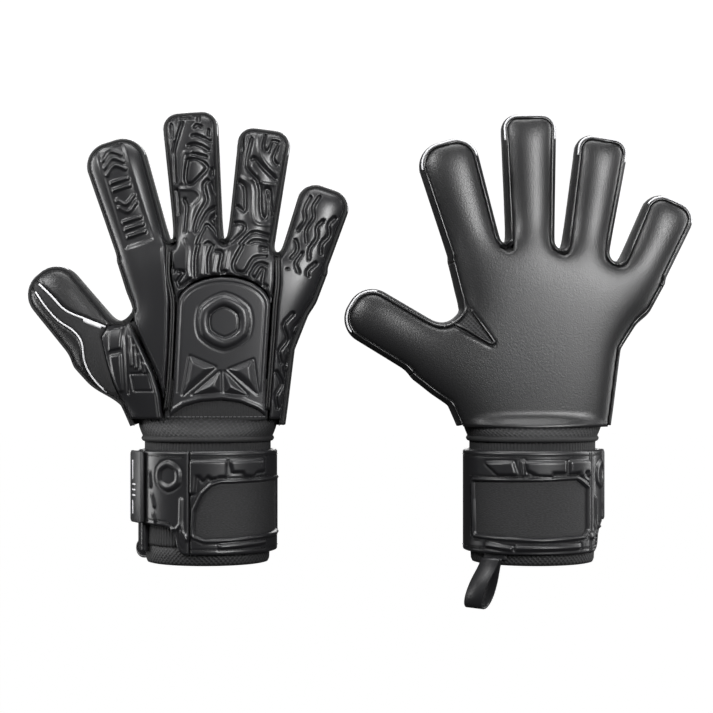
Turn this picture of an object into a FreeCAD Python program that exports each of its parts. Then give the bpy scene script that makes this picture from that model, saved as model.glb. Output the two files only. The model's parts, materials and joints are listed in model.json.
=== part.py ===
"""A pair of goalkeeper gloves, fingers up: the right glove shows its back to -Y, the left glove
its palm. Millimetres, +Z up, origin in the middle of the right glove's cuff rim."""
import FreeCAD, Part
import os

import Sketcher

doc = FreeCAD.newDocument("GoalkeeperGloves")
sheet = doc.addObject("Spreadsheet::Sheet", "Sizes")

SIZES = [
    # the hand
    ("GloveSpacing", 192.0, "from one wrist's middle to the other's"),
    ("PalmHalfWidth", 50.0, "half the width of the palm at the heel"),
    ("PalmBottom", 92.0, "height of the palm's lower edge above the cuff rim"),
    ("PalmHeight", 92.0, "from the palm's lower edge to the knuckle line"),
    ("PalmThickness", 5.0, "palm latex on its foam backing"),
    ("BackThickness", 5.0, "moulded backhand panels"),
    ("EdgeThickness", 2.5, "knit walls between palm and back"),
    ("HandTilt", 5.0, "each face opens this far from the knuckles to the heel, degrees"),
    ("SeamGap", 0.3, "gap that stands for a sewn seam"),
    # the digits
    ("DigitHalfDepth", 13.0, "half the thickness of a finger"),
    ("StripThickness", 5.0, "palm latex strip of a digit"),
    ("PanelThickness", 5.0, "back panel of a digit"),
    ("GussetThickness", 2.5, "side and tip band of a digit"),
    ("TipRadius", 12.0, "corner radius of a fingertip"),
    ("KnuckleDepth", 5.0, "folding line, this far from the middle towards the palm"),
    ("RootClearance", 0.5, "gap between a digit and the hand on the back"),
    ("FoldClearance", 0.8, "room for a digit's root as it folds"),
    ("IndexLength", 71.5, ""), ("IndexRoot", 0.62, "root width over PalmHalfWidth"),
    ("IndexTip", 0.72, "tip width over PalmHalfWidth"),
    ("MiddleLength", 81.5, ""), ("MiddleRoot", 0.54, ""), ("MiddleTip", 0.65, ""),
    ("RingLength", 73.0, ""), ("RingRoot", 0.53, ""), ("RingTip", 0.62, ""),
    ("LittleLength", 50.0, ""), ("LittleRoot", 0.56, ""), ("LittleTip", 0.62, ""),
    ("ThumbLength", 53.0, ""), ("ThumbRoot", 0.68, ""), ("ThumbTip", 0.66, ""),
    # where each digit folds: across over PalmHalfWidth, up over PalmHeight, lean in degrees
    ("RightIndexAcross", -0.72, ""), ("RightIndexUp", 0.951, ""), ("RightIndexLean", -17.4, ""),
    ("RightMiddleAcross", -0.09, ""), ("RightMiddleUp", 0.995, ""), ("RightMiddleLean", -4.3, ""),
    ("RightRingAcross", 0.50, ""), ("RightRingUp", 0.984, ""), ("RightRingLean", 7.4, ""),
    ("RightLittleAcross", 1.11, ""), ("RightLittleUp", 0.88, ""), ("RightLittleLean", 18.6, ""),
    ("RightThumbAcross", -1.306, ""), ("RightThumbUp", 0.405, ""), ("RightThumbLean", -40.0, ""),
    ("LeftIndexAcross", -0.66, ""), ("LeftIndexUp", 0.951, ""), ("LeftIndexLean", -16.3, ""),
    ("LeftMiddleAcross", -0.024, ""), ("LeftMiddleUp", 0.984, ""), ("LeftMiddleLean", -0.8, ""),
    ("LeftRingAcross", 0.61, ""), ("LeftRingUp", 0.94, ""), ("LeftRingLean", 9.0, ""),
    ("LeftLittleAcross", 1.26, ""), ("LeftLittleUp", 0.826, ""), ("LeftLittleLean", 24.8, ""),
    ("LeftThumbAcross", -1.258, ""), ("LeftThumbUp", 0.36, ""), ("LeftThumbLean", -59.0, ""),
    # the cuff and the mesh sleeve above it
    ("CuffHalfWidth", 37.0, ""), ("CuffHalfDepth", 28.0, ""), ("CuffWall", 2.2, ""),
    ("CuffHeight", 74.0, ""),
    ("SleeveShare", 0.86, "half width of the mesh sleeve's upper end over PalmHalfWidth"),
    ("SleeveWall", 2.0, ""), ("SleeveTuck", 5.0, "how far it reaches up between palm and back"),
    # the wrist strap: angles run round the wrist from the front, degrees
    ("StrapBottom", 10.0, ""), ("StrapHeight", 56.0, ""), ("StrapThickness", 4.0, ""),
    ("StrapFit", 0.2, "gap between the strap and the cuff"),
    ("HookThickness", 0.9, "hook patch under the flap"),
    ("HookMargin", 7.0, "bare cuff beside the flap's fold, degrees"),
    ("FlapClearance", 0.3, "gap between the hook patch and the flap"),
    ("RightStrapEnd", -64.0, "where the right strap's free end lies"),
    ("LeftStrapEnd", 104.0, "where the left strap's free end lies"),
    ("FlapSweep", 53.0, "free end that peels open"),
    ("NotchSweep", 26.0, "part of the flap that is cut back at its lower edge"),
    ("NotchHeight", 14.0, ""),
    ("EdgeSweep", 0.7, "gap beside the flap and the window, degrees"),
    ("WindowSweep", 108.0, "elastic knit window"),
    ("WindowBottom", 20.0, ""), ("WindowHeight", 30.0, ""), ("WindowThickness", 2.2, ""),
    ("WindowRecess", 0.8, "how far the window lies below the strap's face"),
    ("WindowSeam", 2.8, "strap between the flap and the window, degrees"),
    ("WindowGap", 0.28, "gap at the window's ends, degrees"),
    ("TabLength", 15.0, ""), ("TabHeight", 42.0, ""), ("TabThickness", 2.5, ""),
    ("TabOverlap", 4.0, "how much of the tab lies on the flap"),
    # the pull loop
    ("LoopAngle", -40.0, "where the loop is sewn, from the palm's middle to the thumb"),
    ("LoopHeight", 4.0, "height of its folding line"),
    ("LoopWidth", 12.0, ""), ("LoopDrop", 30.0, ""), ("LoopDepth", 12.0, ""),
    ("LoopNeck", 4.4, ""), ("TapeThickness", 2.0, ""), ("LoopGap", 1.4, "loop to cuff"),
    ("RightLoopTilt", 80.0, "the right glove's loop is folded back, degrees"),
    ("LeftLoopTilt", 0.0, ""),
]
DIGITS = ["Index", "Middle", "Ring", "Little", "Thumb"]
# name, place across, side of the palm along Y, way round the strap runs from its free end
GLOVES = [("Right", "0", 1, 1), ("Left", "Sizes.GloveSpacing", -1, -1)]
KNUCKLE_HEIGHT = "(Sizes.PalmBottom + Sizes.PalmHeight)"

nodes = []


def fillSheet():
    for row, (name, value, note) in enumerate(SIZES, 1):
        sheet.set(f"A{row}", name)
        sheet.set(f"B{row}", f"{value:g}")
        sheet.set(f"C{row}", note)
        sheet.setAlias(f"B{row}", name)
    doc.recompute()


def value(expression):
    """The number that an expression of the sheet's sizes gives now."""
    return float(sheet.evalExpression(str(expression)))


def keep(piece, name):
    """Marks a finished piece as a node of the model."""
    piece.Label = name
    nodes.append(piece)
    return piece


def place(piece, at, axis=(0, 1, 0), angle="0"):
    """Binds a piece's placement: turned by angle about axis, then moved to at."""
    move = "create(<<vector>>; %s; %s; %s)" % tuple(at)
    turn = "create(<<rotation>>; create(<<vector>>; %g; %g; %g); %s)" % (*axis, angle)
    piece.setExpression("Placement", f"create(<<placement>>; {move}; {turn})")
    return piece


# ---- shapes ------------------------------------------------------------------------------------

def drawOutline(sketch, outline):
    """A closed outline of straight edges; each corner is bound to a pair of expressions."""
    corners = [FreeCAD.Vector(value(a), value(b), 0) for a, b in outline]
    first = sketch.GeometryCount
    count = len(corners)
    for i in range(count):
        sketch.addGeometry(Part.LineSegment(corners[i], corners[(i + 1) % count]), False)
    for i in range(count):
        after = first + (i + 1) % count
        sketch.addConstraint(Sketcher.Constraint("Coincident", first + i, 2, after, 1))
    for i, (a, b) in enumerate(outline):
        for kind, expression, number in (("DistanceX", a, corners[i].x),
                                         ("DistanceY", b, corners[i].y)):
            index = sketch.addConstraint(
                Sketcher.Constraint(kind, -1, 1, first + i, 1, number))
            sketch.setExpression(f"Constraints[{index}]", str(expression))


def prism(name, outlines, plane, start, length):
    """A body: the outlines on an origin plane, padded over length from start along its normal."""
    body = doc.addObject("PartDesign::Body", name)
    sketch = body.newObject("Sketcher::SketchObject", name + "_outline")
    base = [f for f in body.Origin.OriginFeatures if f.Role == plane][0]
    sketch.AttachmentSupport = [(base, "")]
    sketch.MapMode = "FlatFace"
    sketch.setExpression("AttachmentOffset.Base.z", str(start))
    for outline in outlines:
        drawOutline(sketch, outline)
    pad = body.newObject("PartDesign::Pad", name + "_pad")
    pad.Profile = sketch
    pad.setExpression("Length", str(length))
    return body


def roundTips(body, radius, level):
    """Fillets the edges that run through a digit's thickness at one level of its tip."""
    doc.recompute()
    pad = body.Tip
    corners = []
    for number, edge in enumerate(pad.Shape.Edges, 1):
        ends = [vertex.Point for vertex in edge.Vertexes]
        through = abs(ends[0].y - ends[-1].y) > 0.9 * edge.Length
        if through and abs(ends[0].z - value(level)) < 0.01:
            corners.append(f"Edge{number}")
    fillet = body.newObject("PartDesign::Fillet", "corners")
    fillet.Base = (pad, corners)
    fillet.setExpression("Radius", str(radius))
    body.Tip = fillet
    return body


def ellipse(name, halfWidth, halfDepth, height):
    curve = doc.addObject("Part::Ellipse", name)
    curve.setExpression("MajorRadius", str(halfWidth))
    curve.setExpression("MinorRadius", str(halfDepth))
    return place(curve, ("0", "0", height))


def extrude(name, curve, length):
    solid = doc.addObject("Part::Extrusion", name)
    solid.Base = curve
    solid.DirMode = "Custom"
    solid.Dir = FreeCAD.Vector(0, 0, 1)
    solid.Solid = True
    solid.setExpression("LengthFwd", str(length))
    return solid


def boolean(kind, name, base, tool):
    result = doc.addObject("Part::" + kind, name)
    result.Base = base
    result.Tool = tool
    return result


def ring(name, grow, wall, bottom, height):
    """An oval tube round the wrist, its outside grown from the cuff's by grow."""
    outer = ellipse(name + "_out", f"Sizes.CuffHalfWidth + {grow}",
                    f"Sizes.CuffHalfDepth + {grow}", bottom)
    inner = ellipse(name + "_in", f"Sizes.CuffHalfWidth + {grow} - {wall}",
                    f"Sizes.CuffHalfDepth + {grow} - {wall}", bottom)
    return boolean("Cut", name, extrude(name + "_full", outer, height),
                   extrude(name + "_bore", inner, height))


def wristPoint(angle, grow):
    """A point round the wrist: angle from the front (-Y) towards +X."""
    return (f"(Sizes.CuffHalfWidth + {grow}) * sin({angle})",
            f"-(Sizes.CuffHalfDepth + {grow}) * cos({angle})")


def sector(name, start, sweep, bottom, height):
    """A slice of the space round the wrist, from the angle start over sweep degrees."""
    steps = 1 + int(abs(value(sweep)) // 50)
    reach = "Sizes.CuffHalfDepth"
    rim = [wristPoint(f"({start} + {sweep} * {i} / {steps})", reach) for i in range(steps + 1)]
    return prism(name, [[("0", "0")] + rim], "XY_Plane", bottom, height)


# ---- places on a glove -------------------------------------------------------------------------

def palmPoint(across, up):
    """A point of the hand's faces, by its shares of the palm's size, from the knuckle line."""
    return f"{across} * Sizes.PalmHalfWidth", f"({up} - 1) * Sizes.PalmHeight"


def digitPoint(glove, digit, side, drop):
    """A point at a digit's root: half its width to one side, drop below its folding line."""
    tag = f"Sizes.{glove}{digit}"
    half = f"({side} * Sizes.{digit}Root * Sizes.PalmHalfWidth / 2)"
    x, z = palmPoint(f"{tag}Across", f"{tag}Up")
    return (f"{x} + {half} * cos({tag}Lean) - {drop} * sin({tag}Lean)",
            f"{z} - {half} * sin({tag}Lean) - {drop} * cos({tag}Lean)")


def facePlace(piece, x0, side):
    """Stands a panel of the hand on its face: its outer skin on a plane that leans outwards."""
    return place(piece, (x0, f"{side} * Sizes.DigitHalfDepth", KNUCKLE_HEIGHT), (1, 0, 0),
                 f"{side} * Sizes.HandTilt")


def facePanel(name, outline, x0, side, thickness):
    """A padded panel on the face of the hand that looks to side along Y."""
    start = "0" if side > 0 else f"-{thickness}"
    return keep(facePlace(prism(name, [outline], "XZ_Plane", start, thickness), x0, side), name)


# ---- the digits --------------------------------------------------------------------------------

def makeDigit(glove, x0, palm, digit):
    low = f"{glove}_{digit}".lower()
    half = f"Sizes.{digit}Root * Sizes.PalmHalfWidth / 2"
    tip = f"Sizes.{digit}Tip * Sizes.PalmHalfWidth / 2"
    length = f"Sizes.{digit}Length"
    bottom = "Sizes.RootClearance"
    wall = "Sizes.GussetThickness"
    outline = [(f"-{half}", bottom), (half, bottom), (tip, length), (f"-{tip}", length)]
    band = [(f"-{half}", bottom), (f"-{tip}", length), (tip, length), (half, bottom),
            (f"{half} - {wall}", bottom), (f"{tip} - {wall}", f"{length} - {wall}"),
            (f"-{tip} + {wall}", f"{length} - {wall}"), (f"-{half} + {wall}", bottom)]
    tag = f"Sizes.{glove}{digit}"
    x, z = palmPoint(f"{tag}Across", f"{tag}Up")
    at = (f"{x0} + {x}", "0", f"{KNUCKLE_HEIGHT} + {z}")
    depth = "Sizes.DigitHalfDepth"
    # the sketch looks along -Y, so a piece starts at minus its largest Y
    strips = [("palm_strip", palm, "Sizes.StripThickness"),
              ("back_panel", -palm, "Sizes.PanelThickness")]
    for kind, side, thick in strips:
        start = f"-{depth}" if side > 0 else f"{depth} - {thick}"
        name = f"{low}_{kind}"
        body = roundTips(prism(name, [outline], "XZ_Plane", start, thick),
                         "Sizes.TipRadius", length)
        keep(place(body, at, (0, 1, 0), f"{tag}Lean"), name)
    front = "Sizes.StripThickness" if palm > 0 else "Sizes.PanelThickness"
    start = f"-({depth} - {front} - Sizes.SeamGap)"
    height = f"2 * {depth} - Sizes.StripThickness - Sizes.PanelThickness - 2 * Sizes.SeamGap"
    name = f"{low}_gusset"
    body = roundTips(prism(name, [band], "XZ_Plane", start, height), "Sizes.TipRadius", length)
    body = roundTips(body, f"Sizes.TipRadius - {wall}", f"{length} - {wall}")
    keep(place(body, at, (0, 1, 0), f"{tag}Lean"), name)


# ---- the hand ----------------------------------------------------------------------------------

# corners shared by the panels, as shares of the palm's half width and height
CROTCH_THUMB = (-0.86, 0.61)
SEAM_INDEX = [(-0.37, 0.66), (-0.39, 0.13)]
SEAM_THUMB = [(-0.84, 0.60), (-0.50, 0.09)]
PATCH_CENTRE = (0.21, 0.66)
PATCH_HALF = 0.55
PATCH_RISE = 0.17
SEAM_LITTLE = [(0.79, 0.66), (0.76, 0.13)]
LITTLE_EDGE = [(1.02, 0.36), (0.93, 0.06), (0.84, -0.09)]


PATCH_BOTTOM = [(0.76, 0.13), (0.21, 0.05), (-0.39, 0.13)]
DOME_TURNS = [180, 150, 120, 90, 60, 30, 0]
THUMB_FOOT = [(-0.52, -0.12), (-0.94, -0.10)]
LITTLE_FOOT = [(0.68, -0.09)]
PALM_FOOT = [(1.02, 0.36), (0.92, 0), (-0.98, 0)]


def shifted(points, across):
    """Corners of the hand's faces, moved sideways by an expression."""
    found = []
    for share in points:
        x, z = palmPoint(*share)
        found.append((f"{x} + {across}", z))
    return found


def dome(gap):
    """The patch's round top, from left to right, gap further out."""
    found = []
    for turn in DOME_TURNS:
        x, z = palmPoint(PATCH_CENTRE[0], PATCH_CENTRE[1])
        found.append((f"{x} + ({PATCH_HALF} * Sizes.PalmHalfWidth + {gap}) * cos({turn})",
                      f"{z} + ({PATCH_RISE} * Sizes.PalmHeight + {gap}) * sin({turn})"))
    return found


def makePalm(glove, x0, palm):
    fold = ("(Sizes.DigitHalfDepth - Sizes.KnuckleDepth + Sizes.FoldClearance"
            " + Sizes.RootClearance)")
    outline = []
    for digit in DIGITS[:4]:
        outline += [digitPoint(glove, digit, -1, fold), digitPoint(glove, digit, 1, fold)]
    outline += [palmPoint(*share) for share in PALM_FOOT]
    outline += [digitPoint(glove, "Thumb", -1, fold), digitPoint(glove, "Thumb", 1, fold)]
    outline += [palmPoint(*CROTCH_THUMB)]
    facePanel(f"{glove.lower()}_palm_latex", outline, x0, palm, "Sizes.PalmThickness")


def makeBack(glove, x0, palm):
    low = glove.lower()
    thick = "Sizes.BackThickness"
    seam = "Sizes.SeamGap"

    def root(digit, side):
        return digitPoint(glove, digit, side, "0")

    rightOf = shifted(SEAM_INDEX, "0")
    indexPanel = [root("Index", -1), root("Index", 1)] + rightOf + shifted(SEAM_THUMB[::-1], "0")
    facePanel(f"{low}_index_side_panel", indexPanel, x0, -palm, thick)
    knuckles = []
    for digit in ("Middle", "Ring"):
        knuckles += [root(digit, -1), root(digit, 1)]
    littleX, littleZ = root("Little", -1)
    knuckles += [(f"{littleX} - {seam}", littleZ)] + dome(seam)[::-1]
    facePanel(f"{low}_knuckle_panel", knuckles, x0, -palm, thick)
    patch = dome("0")
    for share, side in zip(PATCH_BOTTOM, (f"-{seam}", "0", seam)):
        patch += shifted([share], side)
    facePanel(f"{low}_punch_patch", patch, x0, -palm, thick)
    little = [root("Little", -1), root("Little", 1)] + shifted(LITTLE_EDGE, "0")
    little += shifted(LITTLE_FOOT, "0")
    little += shifted(SEAM_LITTLE[::-1], seam)
    facePanel(f"{low}_little_side_panel", little, x0, -palm, thick)
    thumb = [root("Thumb", -1), root("Thumb", 1)] + shifted(SEAM_THUMB, f"-{seam}")
    thumb += shifted(THUMB_FOOT, "0")
    facePanel(f"{low}_thumb_base_panel", thumb, x0, -palm, thick)


def edgeWall(name, x0, top, foot):
    """A knit wall from top to foot, between the inner faces of the palm and the back."""
    thick = "Sizes.EdgeThickness"
    (topX, topZ), (footX, footZ) = palmPoint(*top), palmPoint(*foot)
    run = f"sqrt(({topX} - {footX})^2 + ({topZ} - {footZ})^2)"
    lean = f"atan2({topX} - ({footX}); {topZ} - ({footZ}))"

    def reach(height):
        return (f"(Sizes.DigitHalfDepth - Sizes.PalmThickness - Sizes.SeamGap"
                f" - ({height}) * tan(Sizes.HandTilt))")

    outline = [(f"-{reach(footZ)}", "0"), (reach(footZ), "0"),
               (reach(topZ), run), (f"-{reach(topZ)}", run)]
    body = prism(name, [outline], "YZ_Plane", f"-{thick} / 2", thick)
    return place(body, (f"{x0} + {footX}", "0", f"{KNUCKLE_HEIGHT} + {footZ}"), (0, 1, 0), lean)


# upper and lower end of each knit wall, in shares of the hand
EDGE_WALLS = {
    "Right": [("little", (1.14, 0.69), (0.87, 0.01)), ("index", (-0.88, 0.77), (-0.80, 0.60)),
              ("thumb", (-1.34, 0.18), (-0.93, 0.015))],
    "Left": [("little", (1.18, 0.69), (0.87, 0.01)), ("index", (-0.82, 0.77), (-0.80, 0.60)),
             ("thumb", (-1.18, 0.16), (-0.93, 0.015))],
}


def makeEdges(glove, x0):
    low = glove.lower()
    walls = [edgeWall(f"{low}_{side}_wall", x0, top, foot)
             for side, top, foot in EDGE_WALLS[glove]]
    group = doc.addObject("Part::Compound", f"{low}_edge_gussets")
    group.Links = walls
    keep(group, f"{low}_edge_gussets")


# ---- the wrist ---------------------------------------------------------------------------------

def makeCuff(glove, x0):
    low = glove.lower()
    cuff = ring(f"{low}_knit_cuff", "0", "Sizes.CuffWall", "0", "Sizes.CuffHeight")
    keep(place(cuff, (x0, "0", "0")), f"{low}_knit_cuff")
    foot = "(Sizes.CuffHeight + Sizes.SeamGap)"
    wide = "(Sizes.SleeveShare * Sizes.PalmHalfWidth)"
    # clear room between palm and back, at a given distance below the knuckle line
    room = ("(Sizes.DigitHalfDepth - Sizes.PalmThickness - Sizes.SeamGap * 2"
            " + ({}) * tan(Sizes.HandTilt))")
    levels = [
        ("foot", "Sizes.CuffHalfWidth", "Sizes.CuffHalfDepth", foot),
        ("throat", wide, room.format("Sizes.PalmHeight"),
         "Sizes.PalmBottom"),
        ("head", wide,
         room.format("Sizes.PalmHeight - Sizes.SleeveTuck"),
         "(Sizes.PalmBottom + Sizes.SleeveTuck)")]
    skins = []
    for tag, shrink in (("out", "0"), ("in", "Sizes.SleeveWall")):
        loft = doc.addObject("Part::Loft", f"{low}_sleeve_{tag}")
        loft.Sections = [
            ellipse(f"{low}_sleeve_{tag}_{level}", f"{across} - {shrink}",
                    f"{deep} - {shrink}", height)
            for level, across, deep, height in levels]
        loft.Solid = True
        loft.Ruled = True
        skins.append(loft)
    sleeve = boolean("Cut", f"{low}_mesh_sleeve", *skins)
    keep(place(sleeve, (x0, "0", "0")), f"{low}_mesh_sleeve")


def makeStrap(glove, x0, turn):
    low = glove.lower()
    end = f"Sizes.{glove}StrapEnd"
    grow = "(Sizes.StrapFit + Sizes.StrapThickness)"
    bottom, height = "Sizes.StrapBottom", "Sizes.StrapHeight"
    flapWall = f"({grow} - Sizes.StrapFit - Sizes.HookThickness - Sizes.FlapClearance)"

    def part(kind, name, base, tool):
        return boolean(kind, f"{low}_{name}", base, tool)

    def tube(name, outside, wall):
        return ring(f"{low}_{name}", outside, wall, bottom, height)

    def cut(name, start, sweep, low0, high):
        return sector(f"{low}_{name}", f"({end} + {turn} * ({start}))",
                      f"({turn} * ({sweep}))", low0, high)

    # the band goes all the way round but for the flap, and is open for the knit window
    gone = cut("band_cut", "-Sizes.EdgeSweep", "Sizes.FlapSweep + 2 * Sizes.EdgeSweep",
               bottom, height)
    band = part("Cut", "band_round", tube("band_tube", grow, "Sizes.StrapThickness"), gone)
    hole = cut("window_cut", "Sizes.FlapSweep + Sizes.WindowSeam", "Sizes.WindowSweep",
               "Sizes.WindowBottom", "Sizes.WindowHeight")
    band = part("Cut", "strap_band", band, hole)
    keep(place(band, (x0, "0", "0")), f"{low}_strap_band")
    pane = cut("window_area", "Sizes.FlapSweep + Sizes.WindowSeam + Sizes.WindowGap",
               "Sizes.WindowSweep - 2 * Sizes.WindowGap",
               "Sizes.WindowBottom + Sizes.SeamGap", "Sizes.WindowHeight - 2 * Sizes.SeamGap")
    window = part("Common", "elastic_window",
                  tube("window_tube", f"({grow} - Sizes.WindowRecess)", "Sizes.WindowThickness"), pane)
    keep(place(window, (x0, "0", "0")), f"{low}_elastic_window")
    # hook patch on the cuff, and the flap that lies on it
    hookArea = cut("hook_area", "Sizes.EdgeSweep",
                   "Sizes.FlapSweep - Sizes.EdgeSweep - Sizes.HookMargin",
                   "Sizes.StrapBottom + Sizes.NotchHeight",
                   "Sizes.StrapHeight - Sizes.NotchHeight")
    hook = part("Common", "hook_patch", tube(
        "hook_tube", "(Sizes.StrapFit + Sizes.HookThickness)", "Sizes.HookThickness"), hookArea)
    keep(place(hook, (x0, "0", "0")), f"{low}_hook_patch")
    flapArea = cut("flap_area", "0", "Sizes.FlapSweep", bottom, height)
    notch = cut("notch_area", "-Sizes.EdgeSweep", "Sizes.NotchSweep",
                "Sizes.StrapBottom - Sizes.StrapFit",
                "Sizes.NotchHeight + Sizes.StrapFit")
    flap = part("Common", "flap_whole", tube("flap_tube", grow, flapWall), flapArea)
    flap = part("Cut", "strap_flap", flap, notch)
    keep(place(flap, (x0, "0", "0")), f"{low}_strap_flap")
    # the tab stands on the flap's end and runs on straight, clear of the band
    tangent = f"atan2(-({turn}) * Sizes.CuffHalfDepth * sin({end}); " \
              f"-({turn}) * Sizes.CuffHalfWidth * cos({end}))"
    x, y = wristPoint(end, f"({grow} + Sizes.FlapClearance)")
    tab = doc.addObject("Part::Box", f"{low}_strap_tab")
    tab.setExpression("Length", "Sizes.TabLength")
    tab.setExpression("Width", "Sizes.TabThickness")
    tab.setExpression("Height", "Sizes.TabHeight")
    sideways = "0" if turn > 0 else "-Sizes.TabThickness"
    back = (f"({x0} + {x} - Sizes.TabOverlap * cos({tangent})"
            f" - ({sideways}) * sin({tangent}))")
    out = (f"({y} - Sizes.TabOverlap * sin({tangent}) + ({sideways}) * cos({tangent}))")
    place(tab, (back, out, "Sizes.StrapBottom + Sizes.StrapHeight - Sizes.TabHeight"),
          (0, 0, 1), tangent)
    keep(tab, f"{low}_strap_tab")


# the loop's outline: share of the drop at its widest, shares of the depth there and at the foot
LOOP_BELLY = 0.75
LOOP_OUT = (0.78, 0.6)
LOOP_IN = (0.22, 0.04)
LOOP_FOLD = 1.4


def makeLoop(glove, x0, palm):
    """A folded tape: drawn in its own plane, hung from its folding line, then tilted outwards."""
    low = glove.lower()
    tape = "Sizes.TapeThickness"
    neck, deep, drop = "Sizes.LoopNeck", "Sizes.LoopDepth", "Sizes.LoopDrop"

    def profile(inset):
        fold = f"-{LOOP_FOLD} * {inset}"
        belly = f"-{LOOP_BELLY} * {drop}"
        foot = f"-{drop} + {inset}"
        return [(inset, fold), (f"{neck} - {inset}", fold),
                (f"{deep} * {LOOP_OUT[0]} - {inset}", belly),
                (f"{deep} * {LOOP_OUT[1]} - {inset} / 2", foot),
                (f"-{deep} * {LOOP_IN[1]} + {inset} / 2", foot),
                (f"-{deep} * {LOOP_IN[0]} + {inset}", belly)]

    body = prism(f"{low}_pull_loop", [profile("0"), profile(tape)], "YZ_Plane",
                 "-Sizes.LoopWidth / 2", "Sizes.LoopWidth")
    # the loop faces away from the cuff where it is sewn
    angle = "Sizes.LoopAngle" if palm < 0 else "(180 - Sizes.LoopAngle)"
    x, y = wristPoint(angle, "Sizes.LoopGap")
    facing = f"({angle} - 180)"
    move = f"create(<<vector>>; {x0} + {x}; {y}; Sizes.LoopHeight)"
    about = f"create(<<rotation>>; create(<<vector>>; 0; 0; 1); {facing})"
    tilt = f"create(<<rotation>>; create(<<vector>>; 1; 0; 0); Sizes.{glove}LoopTilt)"
    body.setExpression("Placement", f"create(<<placement>>; {move}; {about} * {tilt})")
    keep(body, f"{low}_pull_loop")
    print("joint", f"{low}_pull_loop", "pos",
          [round(value(f"{x0} + {x}"), 3), round(value(y), 3), value("Sizes.LoopHeight")],
          "facing", value(facing))


def printJoints(glove, x0, palm, turn):
    for digit in DIGITS:
        tag = f"Sizes.{glove}{digit}"
        x, z = palmPoint(f"{tag}Across", f"{tag}Up")
        pos = [value(f"{x0} + {x}"), palm * value("Sizes.KnuckleDepth"),
               value(f"{KNUCKLE_HEIGHT} + {z}")]
        print("joint", f"{glove}_{digit}".lower(), "pos", [round(n, 3) for n in pos],
              "lean", value(f"{tag}Lean"), "palm", palm)
    x, y = wristPoint(f"(Sizes.{glove}StrapEnd + {turn} * Sizes.FlapSweep)",
                      "(Sizes.StrapFit + Sizes.StrapThickness)")
    print("joint", f"{glove.lower()}_strap_flap", "pos",
          [round(value(f"{x0} + {x}"), 3), round(value(y), 3)], "turn", turn)


def writeParts():
    doc.recompute()
    for item in doc.Objects:
        if "Invalid" in item.State or "Error" in item.State:
            raise RuntimeError(f"{item.Label} failed: {item.State}")
    os.makedirs("parts", exist_ok=True)
    for piece in nodes:
        shape = piece.Shape
        if shape.isNull() or not shape.isValid() or not shape.Solids:
            raise RuntimeError(f"{piece.Label} has no valid solid")
        shape.exportStep(f"parts/{piece.Label}.step")
    print(len(nodes), "parts written")


fillSheet()
for glove, x0, palm, turn in GLOVES:
    for digit in DIGITS:
        makeDigit(glove, x0, palm, digit)
    makePalm(glove, x0, palm)
    makeBack(glove, x0, palm)
    makeEdges(glove, x0)
    makeCuff(glove, x0)
    makeStrap(glove, x0, turn)
    makeLoop(glove, x0, palm)
    printJoints(glove, x0, palm, turn)
writeParts()
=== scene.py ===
import json
import math
import bpy
import numpy as np
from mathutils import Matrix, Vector


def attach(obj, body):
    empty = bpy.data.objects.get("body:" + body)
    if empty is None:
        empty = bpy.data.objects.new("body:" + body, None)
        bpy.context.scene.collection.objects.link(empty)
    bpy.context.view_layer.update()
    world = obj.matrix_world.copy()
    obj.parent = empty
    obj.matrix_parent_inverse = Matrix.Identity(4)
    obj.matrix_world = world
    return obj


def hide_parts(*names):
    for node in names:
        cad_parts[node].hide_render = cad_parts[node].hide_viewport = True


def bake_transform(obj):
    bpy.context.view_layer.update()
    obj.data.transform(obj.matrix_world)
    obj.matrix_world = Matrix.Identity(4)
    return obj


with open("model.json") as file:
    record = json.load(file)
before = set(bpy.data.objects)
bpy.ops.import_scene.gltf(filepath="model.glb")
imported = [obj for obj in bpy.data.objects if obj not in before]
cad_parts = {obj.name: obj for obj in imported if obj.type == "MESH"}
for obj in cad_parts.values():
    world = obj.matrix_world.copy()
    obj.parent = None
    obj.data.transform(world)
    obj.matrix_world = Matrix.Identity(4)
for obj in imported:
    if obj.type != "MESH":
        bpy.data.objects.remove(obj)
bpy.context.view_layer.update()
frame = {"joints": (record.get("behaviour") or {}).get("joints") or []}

mm = 0.001


def linearChannel(c):
    return c / 12.92 if c <= 0.04045 else ((c + 0.055) / 1.055) ** 2.4


def hexColour(code):
    return tuple(linearChannel(int(code[i:i + 2], 16) / 255) for i in (0, 2, 4)) + (1.0,)


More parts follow.
